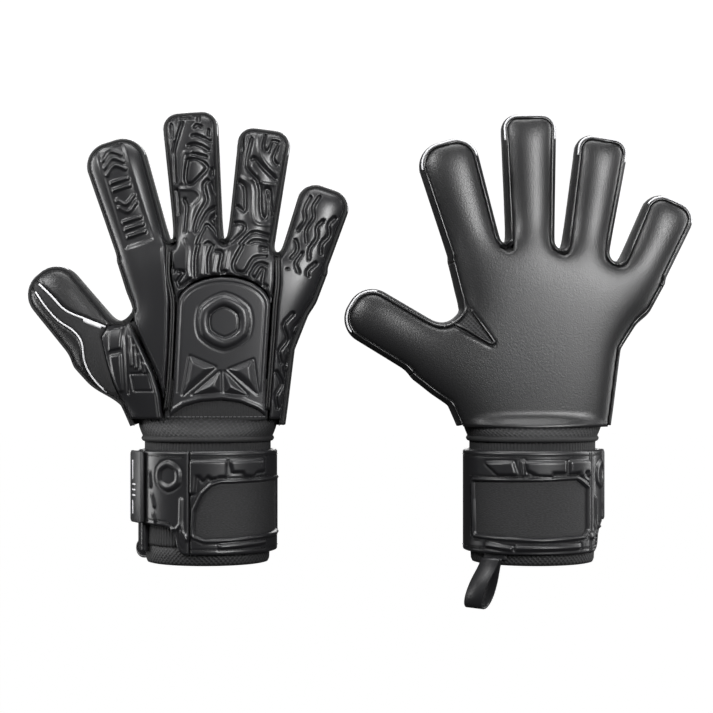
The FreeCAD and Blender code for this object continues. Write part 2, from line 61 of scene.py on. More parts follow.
# materials: colours in hex, bump depths in metres, pattern sizes in metres
finishes = {
    "matteGripLatex": dict(colour="141415", rough=0.4, grain=0.0008, bump=0.00012),
    "charcoalFoamSkin": dict(colour="151517", rough=0.36, grain=0.0006, bump=0.00002),
    "punchPatchFoam": dict(colour="1d1d1f", rough=0.38, grain=0.0006, bump=0.00002),
    "strapFoamSkin": dict(colour="151517", rough=0.38, grain=0.0006, bump=0.00002),
    "edgeKnit": dict(colour="0e0e0f", rough=0.7, grain=0.0007, bump=0.0001),
    "warpKnitMesh": dict(colour="0f0f10", rough=0.8, grain=0.0007, streak=0.35, bump=0.0002,
                         pale="161618"),
    "honeycombMesh": dict(colour="080809", rough=0.7, cells=0.0019, bump=0.0005,
                          pale="232325"),
    "ribbedCuffKnit": dict(colour="0d0d0e", rough=0.8, grain=0.0008, streak=0.5, bump=0.0002,
                           pale="141416"),
    "elasticRib": dict(colour="0b0b0c", rough=0.75, grain=0.0016, streak=3.5, bump=0.0003,
                       pale="1c1c1e"),
    "whitePiping": dict(colour="c4c4c6", rough=0.5, grain=0.0006, bump=0.00004),
    "glossPiping": dict(colour="0c0c0d", rough=0.3, grain=0.001, bump=0.00002),
    "blackCord": dict(colour="080809", rough=0.5, grain=0.0006, bump=0.0001),
    "stitchThread": dict(colour="070708", rough=0.6, grain=0.0004, bump=0.00002),
    "paleThread": dict(colour="58585a", rough=0.6, grain=0.0004, bump=0.00002),
    "hookTapeNylon": dict(colour="0c0c0d", rough=0.85, cells=0.0011, bump=0.0004),
    "mouldedTabRubber": dict(colour="1c1c1e", rough=0.5, grain=0.0007, bump=0.00003),
    "loopLeather": dict(colour="161618", rough=0.45, grain=0.0009, bump=0.00005),
}


def makeFinish(name, colour, rough, bump, grain=None, cells=None, streak=None, pale=None):
    material = bpy.data.materials.new(name)
    material.use_nodes = True
    nodes, links = material.node_tree.nodes, material.node_tree.links
    shader = nodes["Principled BSDF"]
    shader.inputs["Base Color"].default_value = hexColour(colour)
    shader.inputs["Roughness"].default_value = rough
    place = nodes.new("ShaderNodeTexCoord")
    if cells or streak:  # patterns that follow the piece's own weave
        turned = nodes.new("ShaderNodeMapping")
        turned.inputs["Rotation"].default_value = (0, 0, math.radians(45) if cells else 0)
        turned.inputs["Scale"].default_value = (1, 1, 1) if cells else (1, streak, 1)
        links.new(place.outputs["UV"], turned.inputs["Vector"])
    if cells:
        pattern = nodes.new("ShaderNodeTexVoronoi")
        pattern.voronoi_dimensions = "2D"
        pattern.inputs["Randomness"].default_value = 0.0
        pattern.inputs["Scale"].default_value = 0.1 / cells
        links.new(turned.outputs["Vector"], pattern.inputs["Vector"])
        level = pattern.outputs["Distance"]
    else:
        pattern = nodes.new("ShaderNodeTexNoise")
        pattern.inputs["Scale"].default_value = 0.1 / grain if streak else 1 / grain
        pattern.inputs["Detail"].default_value = 3
        links.new(turned.outputs["Vector"] if streak else place.outputs["Object"],
                  pattern.inputs["Vector"])
        level = pattern.outputs["Fac"]
    if pale:
        ramp = nodes.new("ShaderNodeValToRGB")
        low, high = (0.35, 0.62) if cells else (0.42, 0.62)
        ramp.color_ramp.elements[0].position = low
        ramp.color_ramp.elements[0].color = hexColour(colour)
        ramp.color_ramp.elements[1].position = high
        ramp.color_ramp.elements[1].color = hexColour(pale)
        links.new(level, ramp.inputs["Fac"])
        links.new(ramp.outputs["Color"], shader.inputs["Base Color"])
    height = nodes.new("ShaderNodeBump")
    height.inputs["Strength"].default_value = 1.0
    height.inputs["Distance"].default_value = bump
    links.new(level, height.inputs["Height"])
    links.new(height.outputs["Normal"], shader.inputs["Normal"])
    return material


materials = {name: makeFinish(name, **look) for name, look in finishes.items()}
print("materials made:", len(materials))


# plane geometry, all in millimetres
def lineDistance(x, z, points):
    best = np.full(np.shape(x), 1e9)
    for (ax, az), (bx, bz) in zip(points[:-1], points[1:]):
        dx, dz = bx - ax, bz - az
        share = np.clip(((x - ax) * dx + (z - az) * dz) / max(dx * dx + dz * dz, 1e-9), 0, 1)
        best = np.minimum(best, np.hypot(x - ax - share * dx, z - az - share * dz))
    return best


def linesDistance(x, z, lines):
    best = np.full(np.shape(x), 1e9)
    for points in lines:
        best = np.minimum(best, lineDistance(x, z, points))
    return best


def areaDistance(x, z, points):
    inside = np.zeros(np.shape(x), bool)
    ring = list(points) + [points[0]]
    for (ax, az), (bx, bz) in zip(ring[:-1], ring[1:]):
        if az != bz:
            crosses = (az > z) != (bz > z)
            inside ^= crosses & (x < (bx - ax) * (z - az) / (bz - az) + ax)
    return lineDistance(x, z, ring) * np.where(inside, -1, 1)


def smoothUnion(a, b, reach):
    share = np.clip(0.5 + 0.5 * (b - a) / reach, 0, 1)
    return b * (1 - share) + a * share - reach * share * (1 - share)


def smoothStep(value, low, high):
    share = np.clip((value - low) / (high - low), 0, 1)
    return share * share * (3 - 2 * share)


def roundEdge(s, radius):
    share = 1 - np.clip(-s / radius, 0, 1)
    return -radius * (1 - np.sqrt(np.clip(1 - share * share, 0, 1)))


def rib(distance, halfWidth):
    return np.where(distance < halfWidth, 0.5 + 0.5 * np.cos(np.pi * distance / halfWidth), 0)


def smoothLine(points, steps=6):
    p = [np.array(q, float) for q in points]
    p = [2 * p[0] - p[1]] + p + [2 * p[-1] - p[-2]]
    found = []
    for a, b, c, d in zip(p, p[1:], p[2:], p[3:]):
        for i in range(steps):
            t = i / steps
            found.append(0.5 * (2 * b + (c - a) * t + (2 * a - 5 * b + 4 * c - d) * t ** 2
                                + (3 * b - a - 3 * c + d) * t ** 3))
    return found + [p[-2]]


# mesh builders
def finishMesh(name, points, faces, material, weave=None, creases=None):
    points = np.asarray(points, float) * mm
    mesh = bpy.data.meshes.new(name)
    mesh.from_pydata(points.tolist(), [], faces)
    mesh.update()
    tris = np.zeros(len(mesh.loop_triangles) * 3, np.int32)
    mesh.loop_triangles.foreach_get("vertices", tris)
    p = points[tris.reshape(-1, 3)]
    if np.einsum("ij,ij->i", p[:, 0], np.cross(p[:, 1], p[:, 2])).sum() < 0:
        mesh.flip_normals()
    mesh.shade_smooth()
    if creases is not None:  # keeps the light on a pad's face even up to its rim
        ends = np.zeros(len(mesh.edges) * 2, np.int32)
        mesh.edges.foreach_get("vertices", ends)
        ends = np.sort(ends.reshape(-1, 2), 1)
        codes = ends[:, 0].astype(np.int64) * len(points) + ends[:, 1]
        wanted = np.sort(np.array(creases), 1)
        sharp = mesh.attributes.new("sharp_edge", "BOOLEAN", "EDGE")
        sharp.data.foreach_set("value", np.isin(codes, wanted[:, 0] * len(points) + wanted[:, 1]))
    if weave is not None:
        layer = mesh.uv_layers.new(name="weave")
        index = np.zeros(len(mesh.loops), np.int32)
        mesh.loops.foreach_get("vertex_index", index)
        layer.data.foreach_set("uv", np.asarray(weave, float)[index].ravel())
    mesh.materials.append(materials[material])
    piece = bpy.data.objects.new(name, mesh)
    bpy.context.scene.collection.objects.link(piece)
    return piece


def padShell(name, region, top, thick, box, pitch, mapper, material):
    # a closed pad: grid cells inside the region, the rim moved on to its edge, a top and a base
    u = np.arange(box[0], box[1] + pitch, pitch)
    v = np.arange(box[2], box[3] + pitch, pitch)
    u, v = np.meshgrid(u, v, indexing="ij")
    s = region(u, v)
    ok = s < 0.45 * pitch
    cell = ok[:-1, :-1] & ok[1:, :-1] & ok[1:, 1:] & ok[:-1, 1:]
    used = np.zeros(s.shape, int)
    for di, dj in ((0, 0), (1, 0), (1, 1), (0, 1)):
        used[di:di + cell.shape[0], dj:dj + cell.shape[1]] += cell
    rim = (used > 0) & (used < 4)
    ru, rv = u[rim], v[rim]
    for _ in range(3):
        rs = region(ru, rv)
        gu = (region(ru + 0.1, rv) - region(ru - 0.1, rv)) / 0.2
        gv = (region(ru, rv + 0.1) - region(ru, rv - 0.1)) / 0.2
        size = np.maximum(gu * gu + gv * gv, 0.3)
        ru, rv = ru - rs * gu / size, rv - rs * gv / size
    u[rim], v[rim], s[rim] = ru, rv, 0.0
    keep = used > 0
    number = np.full(s.shape, -1)
    number[keep] = np.arange(keep.sum())
    count = int(keep.sum())
    ku, kv, ks = u[keep], v[keep], s[keep]
    face = top(ku, kv, ks)
    ground = top(ku, kv, np.zeros_like(ks) - 1e3, plain=True) - thick
    ground = np.minimum(ground, face - 0.3)
    points = np.concatenate([mapper(ku, kv, face), mapper(ku, kv, ground)])
    i, j = np.nonzero(cell)
    quads = np.stack([number[i, j], number[i + 1, j], number[i + 1, j + 1], number[i, j + 1]], 1)
    edges = {}
    for q in quads.tolist():
        for a, b in zip(q, q[1:] + q[:1]):
            if (b, a) in edges:
                del edges[(b, a)]
            else:
                edges[(a, b)] = True
    faces = quads.tolist() + (quads[:, ::-1] + count).tolist()
    faces += [[b, a, a + count, b + count] for a, b in edges]
    weave = np.tile(np.stack([ku, kv], 1) * 0.01, (2, 1))
    return finishMesh(name, points, faces, material, weave, list(edges))


def tubeFaces(rows, count):
    # quads between rows of points, and one face to close each end
    faces = []
    for i in range(rows - 1):
        a, b = i * count, (i + 1) * count
        faces += [[a + k, a + (k + 1) % count, b + (k + 1) % count, b + k] for k in range(count)]
    return faces + [list(range(count))[::-1], [(rows - 1) * count + k for k in range(count)]]


def sweep(name, spine, outline, material):
    # spine: list of (point, first direction, second direction); outline: points in those directions
    rows = [[p + a * m + b * n for a, b in outline] for p, m, n in spine]
    count = len(rows[0])
    points = [q for row in rows for q in row]
    faces = tubeFaces(len(rows), count)
    lengths = np.concatenate([[0], np.cumsum([np.linalg.norm(b[0] - a[0])
                                              for a, b in zip(spine, spine[1:])])])
    weave = [(lengths[i] * 0.01, k * 0.02) for i in range(len(rows)) for k in range(count)]
    return finishMesh(name, points, faces, material, weave)


def tube(name, path, radius, material, sides=8):
    path = [np.array(p, float) for p in path]
    spine, side = [], None
    for k, p in enumerate(path):
        ahead = path[min(k + 1, len(path) - 1)]
        behind = path[max(k - 1, 0)]
        along = (ahead - behind) / max(np.linalg.norm(ahead - behind), 1e-9)
        if side is None:
            side = np.cross(along, (0, 1, 0) if abs(along[1]) < 0.9 else (1, 0, 0))
        side = side - along * side.dot(along)
        side /= np.linalg.norm(side)
        spine.append((p, side, np.cross(along, side)))
    turns = [2 * math.pi * k / sides for k in range(sides)]
    outline = [(radius * math.cos(a), radius * math.sin(a)) for a in turns]
    return sweep(name, spine, outline, material)


# stitches: short thread lengths laid along any seam line
stitchLook = dict(pitch=2.3, length=1.7, radius=0.22)


def makeStitchTree():
    tree = bpy.data.node_groups.new("seamStitches", "GeometryNodeTree")
    face = tree.interface
    face.new_socket("Seam", in_out="INPUT", socket_type="NodeSocketGeometry")
    for label in ("Pitch", "Length", "Radius"):
        face.new_socket(label, in_out="INPUT", socket_type="NodeSocketFloat")
    face.new_socket("Thread", in_out="INPUT", socket_type="NodeSocketMaterial")
    face.new_socket("Stitches", in_out="OUTPUT", socket_type="NodeSocketGeometry")
    nodes, links = tree.nodes, tree.links

    def add(kind, **settings):
        node = nodes.new(kind)
        for key, value in settings.items():
            setattr(node, key, value)
        return node

    start, end = add("NodeGroupInput"), add("NodeGroupOutput")
    curve = add("GeometryNodeMeshToCurve")
    spaced = add("GeometryNodeResampleCurve", mode="LENGTH")
    tangent = add("GeometryNodeInputTangent")
    turn = add("FunctionNodeAlignRotationToVector", axis="Z")
    thread = add("GeometryNodeMeshCylinder")
    thread.inputs["Vertices"].default_value = 5
    laid = add("GeometryNodeInstanceOnPoints")
    real = add("GeometryNodeRealizeInstances")
    painted = add("GeometryNodeSetMaterial")
    links.new(start.outputs["Seam"], curve.inputs["Mesh"])
    links.new(curve.outputs["Curve"], spaced.inputs["Curve"])
    links.new(start.outputs["Pitch"], spaced.inputs["Length"])
    links.new(tangent.outputs["Tangent"], turn.inputs["Vector"])
    links.new(start.outputs["Radius"], thread.inputs["Radius"])
    links.new(start.outputs["Length"], thread.inputs["Depth"])
    links.new(spaced.outputs["Curve"], laid.inputs["Points"])
    links.new(thread.outputs["Mesh"], laid.inputs["Instance"])
    links.new(turn.outputs["Rotation"], laid.inputs["Rotation"])
    links.new(laid.outputs["Instances"], real.inputs["Geometry"])
    links.new(real.outputs["Geometry"], painted.inputs["Geometry"])
    links.new(start.outputs["Thread"], painted.inputs["Material"])
    links.new(painted.outputs["Geometry"], end.inputs["Stitches"])
    return tree


stitchTree = makeStitchTree()


def stitches(name, lines, thread="stitchThread", size=1.0):
    points, edges = [], []
    for line in lines:
        first = len(points)
        points += [tuple(np.asarray(p, float) * mm) for p in line]
        edges += [(k, k + 1) for k in range(first, len(points) - 1)]
    mesh = bpy.data.meshes.new(name + "Seam")
    mesh.from_pydata(points, edges, [])
    seam = bpy.data.objects.new(name + "Seam", mesh)
    bpy.context.scene.collection.objects.link(seam)
    modifier = seam.modifiers.new("stitches", "NODES")
    modifier.node_group = stitchTree
    sockets = {i.name: i.identifier for i in stitchTree.interface.items_tree if i.in_out == "INPUT"}
    modifier[sockets["Pitch"]] = stitchLook["pitch"] * size * mm
    modifier[sockets["Length"]] = stitchLook["length"] * size * mm
    modifier[sockets["Radius"]] = stitchLook["radius"] * mm
    modifier[sockets["Thread"]] = materials[thread]
    baked = bpy.data.meshes.new_from_object(
        seam.evaluated_get(bpy.context.evaluated_depsgraph_get()))
    baked.name = name
    seam.modifiers.remove(modifier)
    bpy.data.objects.remove(seam)
    piece = bpy.data.objects.new(name, baked)
    bpy.context.scene.collection.objects.link(piece)
    return piece


# the hand's outline and how full it is
handShape = dict(palmHalfWidth=50.0, palmBottom=92.0, palmHeight=92.0, fingerFullness=25.0,
                 heelFullness=25.0, webRadius=5.0, thumbWeb=12.0, blendReach=18.0)
# length, half width at the root and at the tip, corner radius
digitShape = {
    "index": (71.5, 15.5, 18.0, 14.0), "middle": (81.5, 13.5, 16.25, 9.0),
    "ring": (73.0, 13.25, 15.5, 9.0), "little": (50.0, 14.0, 15.5, 11.0),
    "thumb": (53.0, 17.0, 16.5, 15.0)}
digitNames = list(digitShape)
gloves = {"right": dict(x0=0.0, palm=1), "left": dict(x0=192.0, palm=-1)}
joints = {j["name"]: j for j in frame["joints"]}


class Hand:
    def __init__(self, glove):
        self.glove, self.x0, self.palm = glove, gloves[glove]["x0"], gloves[glove]["palm"]
        self.hinge, self.lean = {}, {}
        for digit in digitNames:
            joint = joints[f"{glove}_{digit}_flex"]
            x, _, z = (c / mm for c in joint["pos_m"])
            ax, _, az = joint["axis"]
            self.hinge[digit] = (x - self.x0, z)
            self.lean[digit] = math.atan2(self.palm * az, -self.palm * ax)
        wide, low, tall = (handShape[k] for k in ("palmHalfWidth", "palmBottom", "palmHeight"))

        def share(across, up):
            return (across * wide, low + up * tall)

        fingers = [self.out(d, side * digitShape[d][1], 2) for d in digitNames[:4] for side in (-1, 1)]
        self.palmArea = fingers + [share(1.03, 0.36), share(0.95, 0), share(0.90, -0.2),
                                   share(0.8, -0.6), share(-0.8, -0.6), share(-0.84, -0.2),
                                   share(-1.0, 0)]
        self.palmArea += [self.out("thumb", -16, -4), self.out("thumb", 16, -4), share(-0.86, 0.61)]
        self.solve()

    def out(self, digit, x, z):
        c, s = math.cos(self.lean[digit]), math.sin(self.lean[digit])
        hx, hz = self.hinge[digit]
        return (hx + x * c + z * s, hz - x * s + z * c)

    def into(self, digit, x, z):
        c, s = math.cos(self.lean[digit]), math.sin(self.lean[digit])
        hx, hz = self.hinge[digit]
        return (x - hx) * c - (z - hz) * s, (x - hx) * s + (z - hz) * c

    def line(self, digit, points):
        return [self.out(digit, *p) for p in points]

    def digitArea(self, digit, x, z):
        length, root, tip, corner = digitShape[digit]
        dx, dz = self.into(digit, x, z)
        area = [(-root + corner, -14), (root - corner, -14), (tip - corner, length - corner),
                (-tip + corner, length - corner)]
        return areaDistance(dx, dz, area) - corner

    def edge(self, x, z):
        found = areaDistance(x, z, self.palmArea)
        for digit in digitNames:
            reach = handShape["thumbWeb" if digit == "thumb" else "webRadius"]
            found = smoothUnion(found, self.digitArea(digit, x, z), reach)
        return found

    def solve(self):
        # how full the hand is: a stretched skin blown up over the outline, coarse grid first
        fill = None
        for pitch, rounds in ((4.0, 500), (2.0, 300), (1.0, 220)):
            u = np.arange(-126, 115, pitch)
            v = np.arange(36, 284, pitch)
            x, z = np.meshgrid(u, v, indexing="ij")
            d = -self.edge(x, z)
            inside = d > 0
            if fill is None:
                fill = np.zeros(x.shape)
            else:
                fill = np.repeat(np.repeat(fill, 2, 0), 2, 1)[:x.shape[0], :x.shape[1]]
                fill = np.pad(fill, [(0, x.shape[0] - fill.shape[0]), (0, x.shape[1] - fill.shape[1])])
            fill[~inside] = 0
            for _ in range(rounds):
                around = (np.roll(fill, 1, 0) + np.roll(fill, -1, 0) + np.roll(fill, 1, 1)
                          + np.roll(fill, -1, 1))
                fill = np.where(inside, (around + pitch * pitch) / 4, 0)
        known = d > 2.2
        rate = np.where(known, fill / np.maximum(d, 0.1), 0)
        for _ in range(30):
            total = sum(np.roll(rate * known, s, a) for s, a in ((1, 0), (-1, 0), (1, 1), (-1, 1)))
            near = sum(np.roll(known, s, a).astype(float) for s, a in ((1, 0), (-1, 0), (1, 1), (-1, 1)))
            grown = (~known) & (near > 0)
            rate = np.where(grown, total / np.maximum(near, 1), rate)
            known = known | grown
        for _ in range(3):
            rate = (rate * 4 + np.roll(rate, 1, 0) + np.roll(rate, -1, 0) + np.roll(rate, 1, 1)
                    + np.roll(rate, -1, 1)) / 8
        self.rate, self.fill = rate, fill
        self.silhouette = (u, v, -d)

    def depth(self, x, z, outline=None):
        # smooth look-up of the fullness, then the rounded profile it gives
        d = -(self.edge(x, z) if outline is None else outline)
        fx, fz = np.asarray(x) + 126, np.asarray(z) - 36
        ix = np.clip(np.rint(fx).astype(int), 1, self.rate.shape[0] - 2)
        iz = np.clip(np.rint(fz).astype(int), 1, self.rate.shape[1] - 2)
        tx, tz = fx - ix, fz - iz

        def weights(t):
            return (0.5 * (0.5 - t) ** 2, 0.75 - t * t, 0.5 * (0.5 + t) ** 2)

        rate = fill = 0
        for a, wa in zip((-1, 0, 1), weights(tx)):
            for b, wb in zip((-1, 0, 1), weights(tz)):
                rate = rate + wa * wb * self.rate[ix + a, iz + b]
                fill = fill + wa * wb * self.fill[ix + a, iz + b]
        inner = smoothStep(d, 2.0, 5.5)
        swell = rate * np.maximum(d, 0) * (1 - inner) + fill * inner
        rounded = np.sqrt(np.maximum(2 * swell, 1e-6))
        low = smoothStep(np.asarray(z), 175, 92)
        full = handShape["fingerFullness"] + (
            handShape["heelFullness"] - handShape["fingerFullness"]) * low
        return rounded / np.sqrt(1 + (rounded / full) ** 2)

    def world(self, x, z, d):
        return np.stack([self.x0 + np.asarray(x), self.palm * np.asarray(d) + 0 * np.asarray(x),
                         np.asarray(z) + 0 * np.asarray(x)], -1)

    def bend(self, piece, digit):
        a = self.out(digit, 0, 0)
        b = self.out(digit, 0, handShape["blendReach"])
        start, end = ((self.x0 + p[0], 0, p[1]) for p in (a, b))
        [c * mm for c in start]
        [c * mm for c in end]
        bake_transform(piece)


hands = {glove: Hand(glove) for glove in gloves}
print("hand outlines filled")
made = []


def done(piece, slot, replaces=(), body=None):
    if replaces:
        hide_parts(*replaces)
    if body:
        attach(piece, body)
    made.append(piece.name)
    return piece


def namePiece(glove, words):
    return glove + words[0].upper() + words[1:]


# palm side: one latex face, cut where the digits begin to bend
palmPad = dict(inset=3.0, thick=4.2, rounding=1.2, pitch=1.0, wristLine=80.0)
thumbNotch = [(-25.0, 128.0), (-39.5, 149.5), (-48.0, 158.0), (-64.0, 149.0), (-52.0, 142.0)]


def sleeveSize(z):
    # half width, half depth and squareness of the mesh sleeve at a height
    share = smoothStep(z, 73.0, 93.0)
    puff = 1.6 * np.sin(np.pi * np.clip((z - 72) / 13, 0, 1))
    return 37.4 + 5.6 * share + puff, 28.2 - 13.6 * share + puff, 2.0 + 0.7 * share


def heelLevel(hand, x, z):
    # the latex lies on the mesh sleeve at the heel, and on the full hand above it
    wide, deep, square = sleeveSize(z)
    over = deep * np.clip(1 - np.clip(np.abs(x) / wide, 0, 1) ** square, 0, 1) ** (1 / square) + 2.2
    over = over - 14.0 * smoothStep(z, 82, 100)
    return -smoothUnion(-hand.depth(x, z), -over, 9.0)


def latexTop(hand):
    # only the sewn rim is rounded, so the cuts at the digits don't show
    def top(x, z, s, plain=False):
        level = heelLevel(hand, x, z)
        rim = np.maximum(hand.edge(x, z) + palmPad["inset"], palmPad["wristLine"] - z)
        rim = np.maximum(rim, 1.2 - areaDistance(x, z, thumbNotch))
        return level if plain else level + roundEdge(rim, palmPad["rounding"])
    return top


def makePalm(hand):
    g = hand.glove
    inset = palmPad["inset"]
    wrist = palmPad["wristLine"]

    def sheet(x, z):
        found = np.maximum(hand.edge(x, z) + inset, wrist - z)
        return np.maximum(found, 1.2 - areaDistance(x, z, thumbNotch))

    def beyond(digit):
        # how far a point is short of the digit's bending line, kept to that digit's width
        def found(x, z):
            dx, dz = hand.into(digit, x, z)
            wide = digitShape[digit][1] + (9 if digit == "thumb" else 1.5)
            return np.maximum(0.0 - dz, np.abs(dx) - wide - np.maximum(dz, 0) * 0.4)
        return found

    cuts = {digit: beyond(digit) for digit in digitNames}

    def centre(x, z):
        found = sheet(x, z)
        for cut in cuts.values():
            found = np.maximum(found, -cut(x, z))
        return found

    def mapper(x, z, h):
        return hand.world(x, z, h)

    piece = padShell(namePiece(g, "palmLatex"), centre, latexTop(hand), palmPad["thick"],
                     (-90, 90, 76, 196), palmPad["pitch"], mapper, "matteGripLatex")
    done(piece, "palm_latex", [f"{g}_palm_latex"], f"{g}_hand")
    for digit in digitNames:
        x, z = hand.out(digit, 0, 32)

        def strip(px, pz, digit=digit):
            return np.maximum(sheet(px, pz), cuts[digit](px, pz))

        piece = padShell(namePiece(g, digit + "PalmStrip"), strip, latexTop(hand), palmPad["thick"],
                         (x - 66, x + 66, z - 60, z + 72), palmPad["pitch"], mapper, "matteGripLatex")
        done(piece, "palm_latex", [f"{g}_{digit}_palm_strip"])
        hand.bend(piece, digit)
    makeWebs(hand, mapper)


webLook = dict(sunk=1.3, tuck=2.5, thick=2.6, border=0.9, plugFill=0.72, plugReach=10.0,
               thumbPlug=(-44.0, 141.0, 15.0))


def makeWebs(hand, mapper):
    g = hand.glove
    # dark gusset that shows through the notch beside the thumb, with a rolled border
    def low(x, z, s, plain=False):
        return hand.depth(x, z) - webLook["sunk"]

    piece = padShell(namePiece(g, "thumbWebGusset"),
                     lambda x, z: np.maximum(hand.edge(x, z) + 1.0, areaDistance(
                         x, z, thumbNotch) - webLook["tuck"]),
                     low, webLook["thick"], (-68, -18, 122, 170), 0.8, mapper, "honeycombMesh")
    done(piece, "gusset_knit", (), f"{g}_hand")
    border = smoothLine([(-48.0, 140.8), (-38.5, 135.6), (-27.0, 129.0), (-24.4, 129.4),
                         (-25.8, 132.0), (-31.0, 139.2), (-37.6, 148.5)])
    p = np.array(border)
    path = hand.world(p[:, 0], p[:, 1], hand.depth(p[:, 0], p[:, 1]) - 0.35)
    piece = tube(namePiece(g, "thumbWebBorder"), list(path), webLook["border"], "glossPiping")
    done(piece, "palm_latex", (), f"{g}_hand")
    # knit plugs that close the glove between the digits
    for one, two in (("thumb", "index"), ("index", "middle"), ("middle", "ring"), ("ring", "little")):
        (ax, az), (bx, bz) = hand.out(one, digitShape[one][1], 0), hand.out(two, -digitShape[two][1], 0)
        cx, cz, reach = (ax + bx) / 2, (az + bz) / 2, webLook["plugReach"]
        if one == "thumb":
            cx, cz, reach = webLook["thumbPlug"]

        def plug(x, z, s, plain=False):
            half = webLook["plugFill"] * hand.depth(x, z)
            return 8.0 - half if plain else half

        piece = padShell(namePiece(g, one + two.capitalize() + "Web"),
                         lambda x, z: np.maximum(hand.edge(x, z) + 0.9, np.hypot(x - cx, z - cz) - reach),
                         plug, 8.0, (cx - 18, cx + 18, cz - 18, cz + 18), 1.0, mapper, "edgeKnit")
        done(piece, "gusset_knit", (), f"{g}_hand")


# back panels: areas in millimetres of the glove, relief lines in millimetres of the digit
backPad = dict(inset=1.7, thick=4.8, rounding=1.6, pitch=0.6, grooveWidth=1.7, grooveDepth=2.3,
               ridgeWidth=1.5, ridgeHeight=0.6, gap=0.5,
               reach=(-125, 112, 78, 282))
seamIndex = [(-17.2, 152.5), (-17.8, 128.0), (-19.4, 103.0), (-21.5, 84.0)]
seamLittle = [(39.2, 151.0), (37.6, 128.0), (35.6, 103.0), (34.0, 84.0)]
seamThumb = [(-44.5, 146.5), (-37.0, 128.0), (-29.5, 112.0), (-25.5, 99.0), (-23.5, 84.0)]
patchTop = [(11 + 27.4 * math.cos(a), 150.5 + 17.0 * math.sin(a))
            for a in np.linspace(math.pi, 0, 15)]
patchBottom = [(35.4, 103.0), (36.0, 84.0), (33.4, 87.2), (29.9, 89.8), (20.5, 93.7), (10.5, 95.2),
               (-2.0, 94.3), (-11.6, 91.6), (-17.5, 87.6), (-21.0, 84.0), (-18.6, 103.0)]
thumbWedge = [(-58.2, 138.2), (-45.5, 144.0), (-37.0, 128.0), (-29.5, 112.0), (-25.5, 99.0),
              (-24.0, 84.0), (-44.0, 84.0), (-50.4, 97.3), (-54.0, 105.1), (-57.6, 117.2),
              (-61.3, 132.5)]
wedgeLook = dict(
    blocks=[[(-56.5, 136.5), (-47.5, 141), (-48.5, 125.5), (-56.0, 123.8)],
            [(-55.5, 121.5), (-48.6, 122.8), (-47.3, 100.5), (-50.5, 100), (-53, 107)]],
    raised=1.3, bars=4, barHeight=1.2, box=[(-43, 111), (-32.5, 111), (-30.0, 101), (-41, 101)],
    groove=0.8, channel=[(-46.8, 141), (-45.6, 121), (-44.6, 99)], channelDepth=1.1)
thumbTrim = dict(frontPiping=0.6, backPiping=0.5, binding=1.15)
seamCord = dict(radius=0.72, sunk=1.3, offsets=(0.9, 2.3))
thumbSeamFront = [(-101.6, 166.8), (-90.8, 156.9), (-81.7, 147.9), (-69.7, 142.7), (-58.2, 138.2)]
thumbSeamBack = [(-102.8, 162.9), (-94.4, 150.9), (-86.6, 142.4), (-76.9, 135.8), (-72.1, 129.2),
                 (-70.3, 117.2), (-64.8, 106.9), (-54.6, 96.7)]
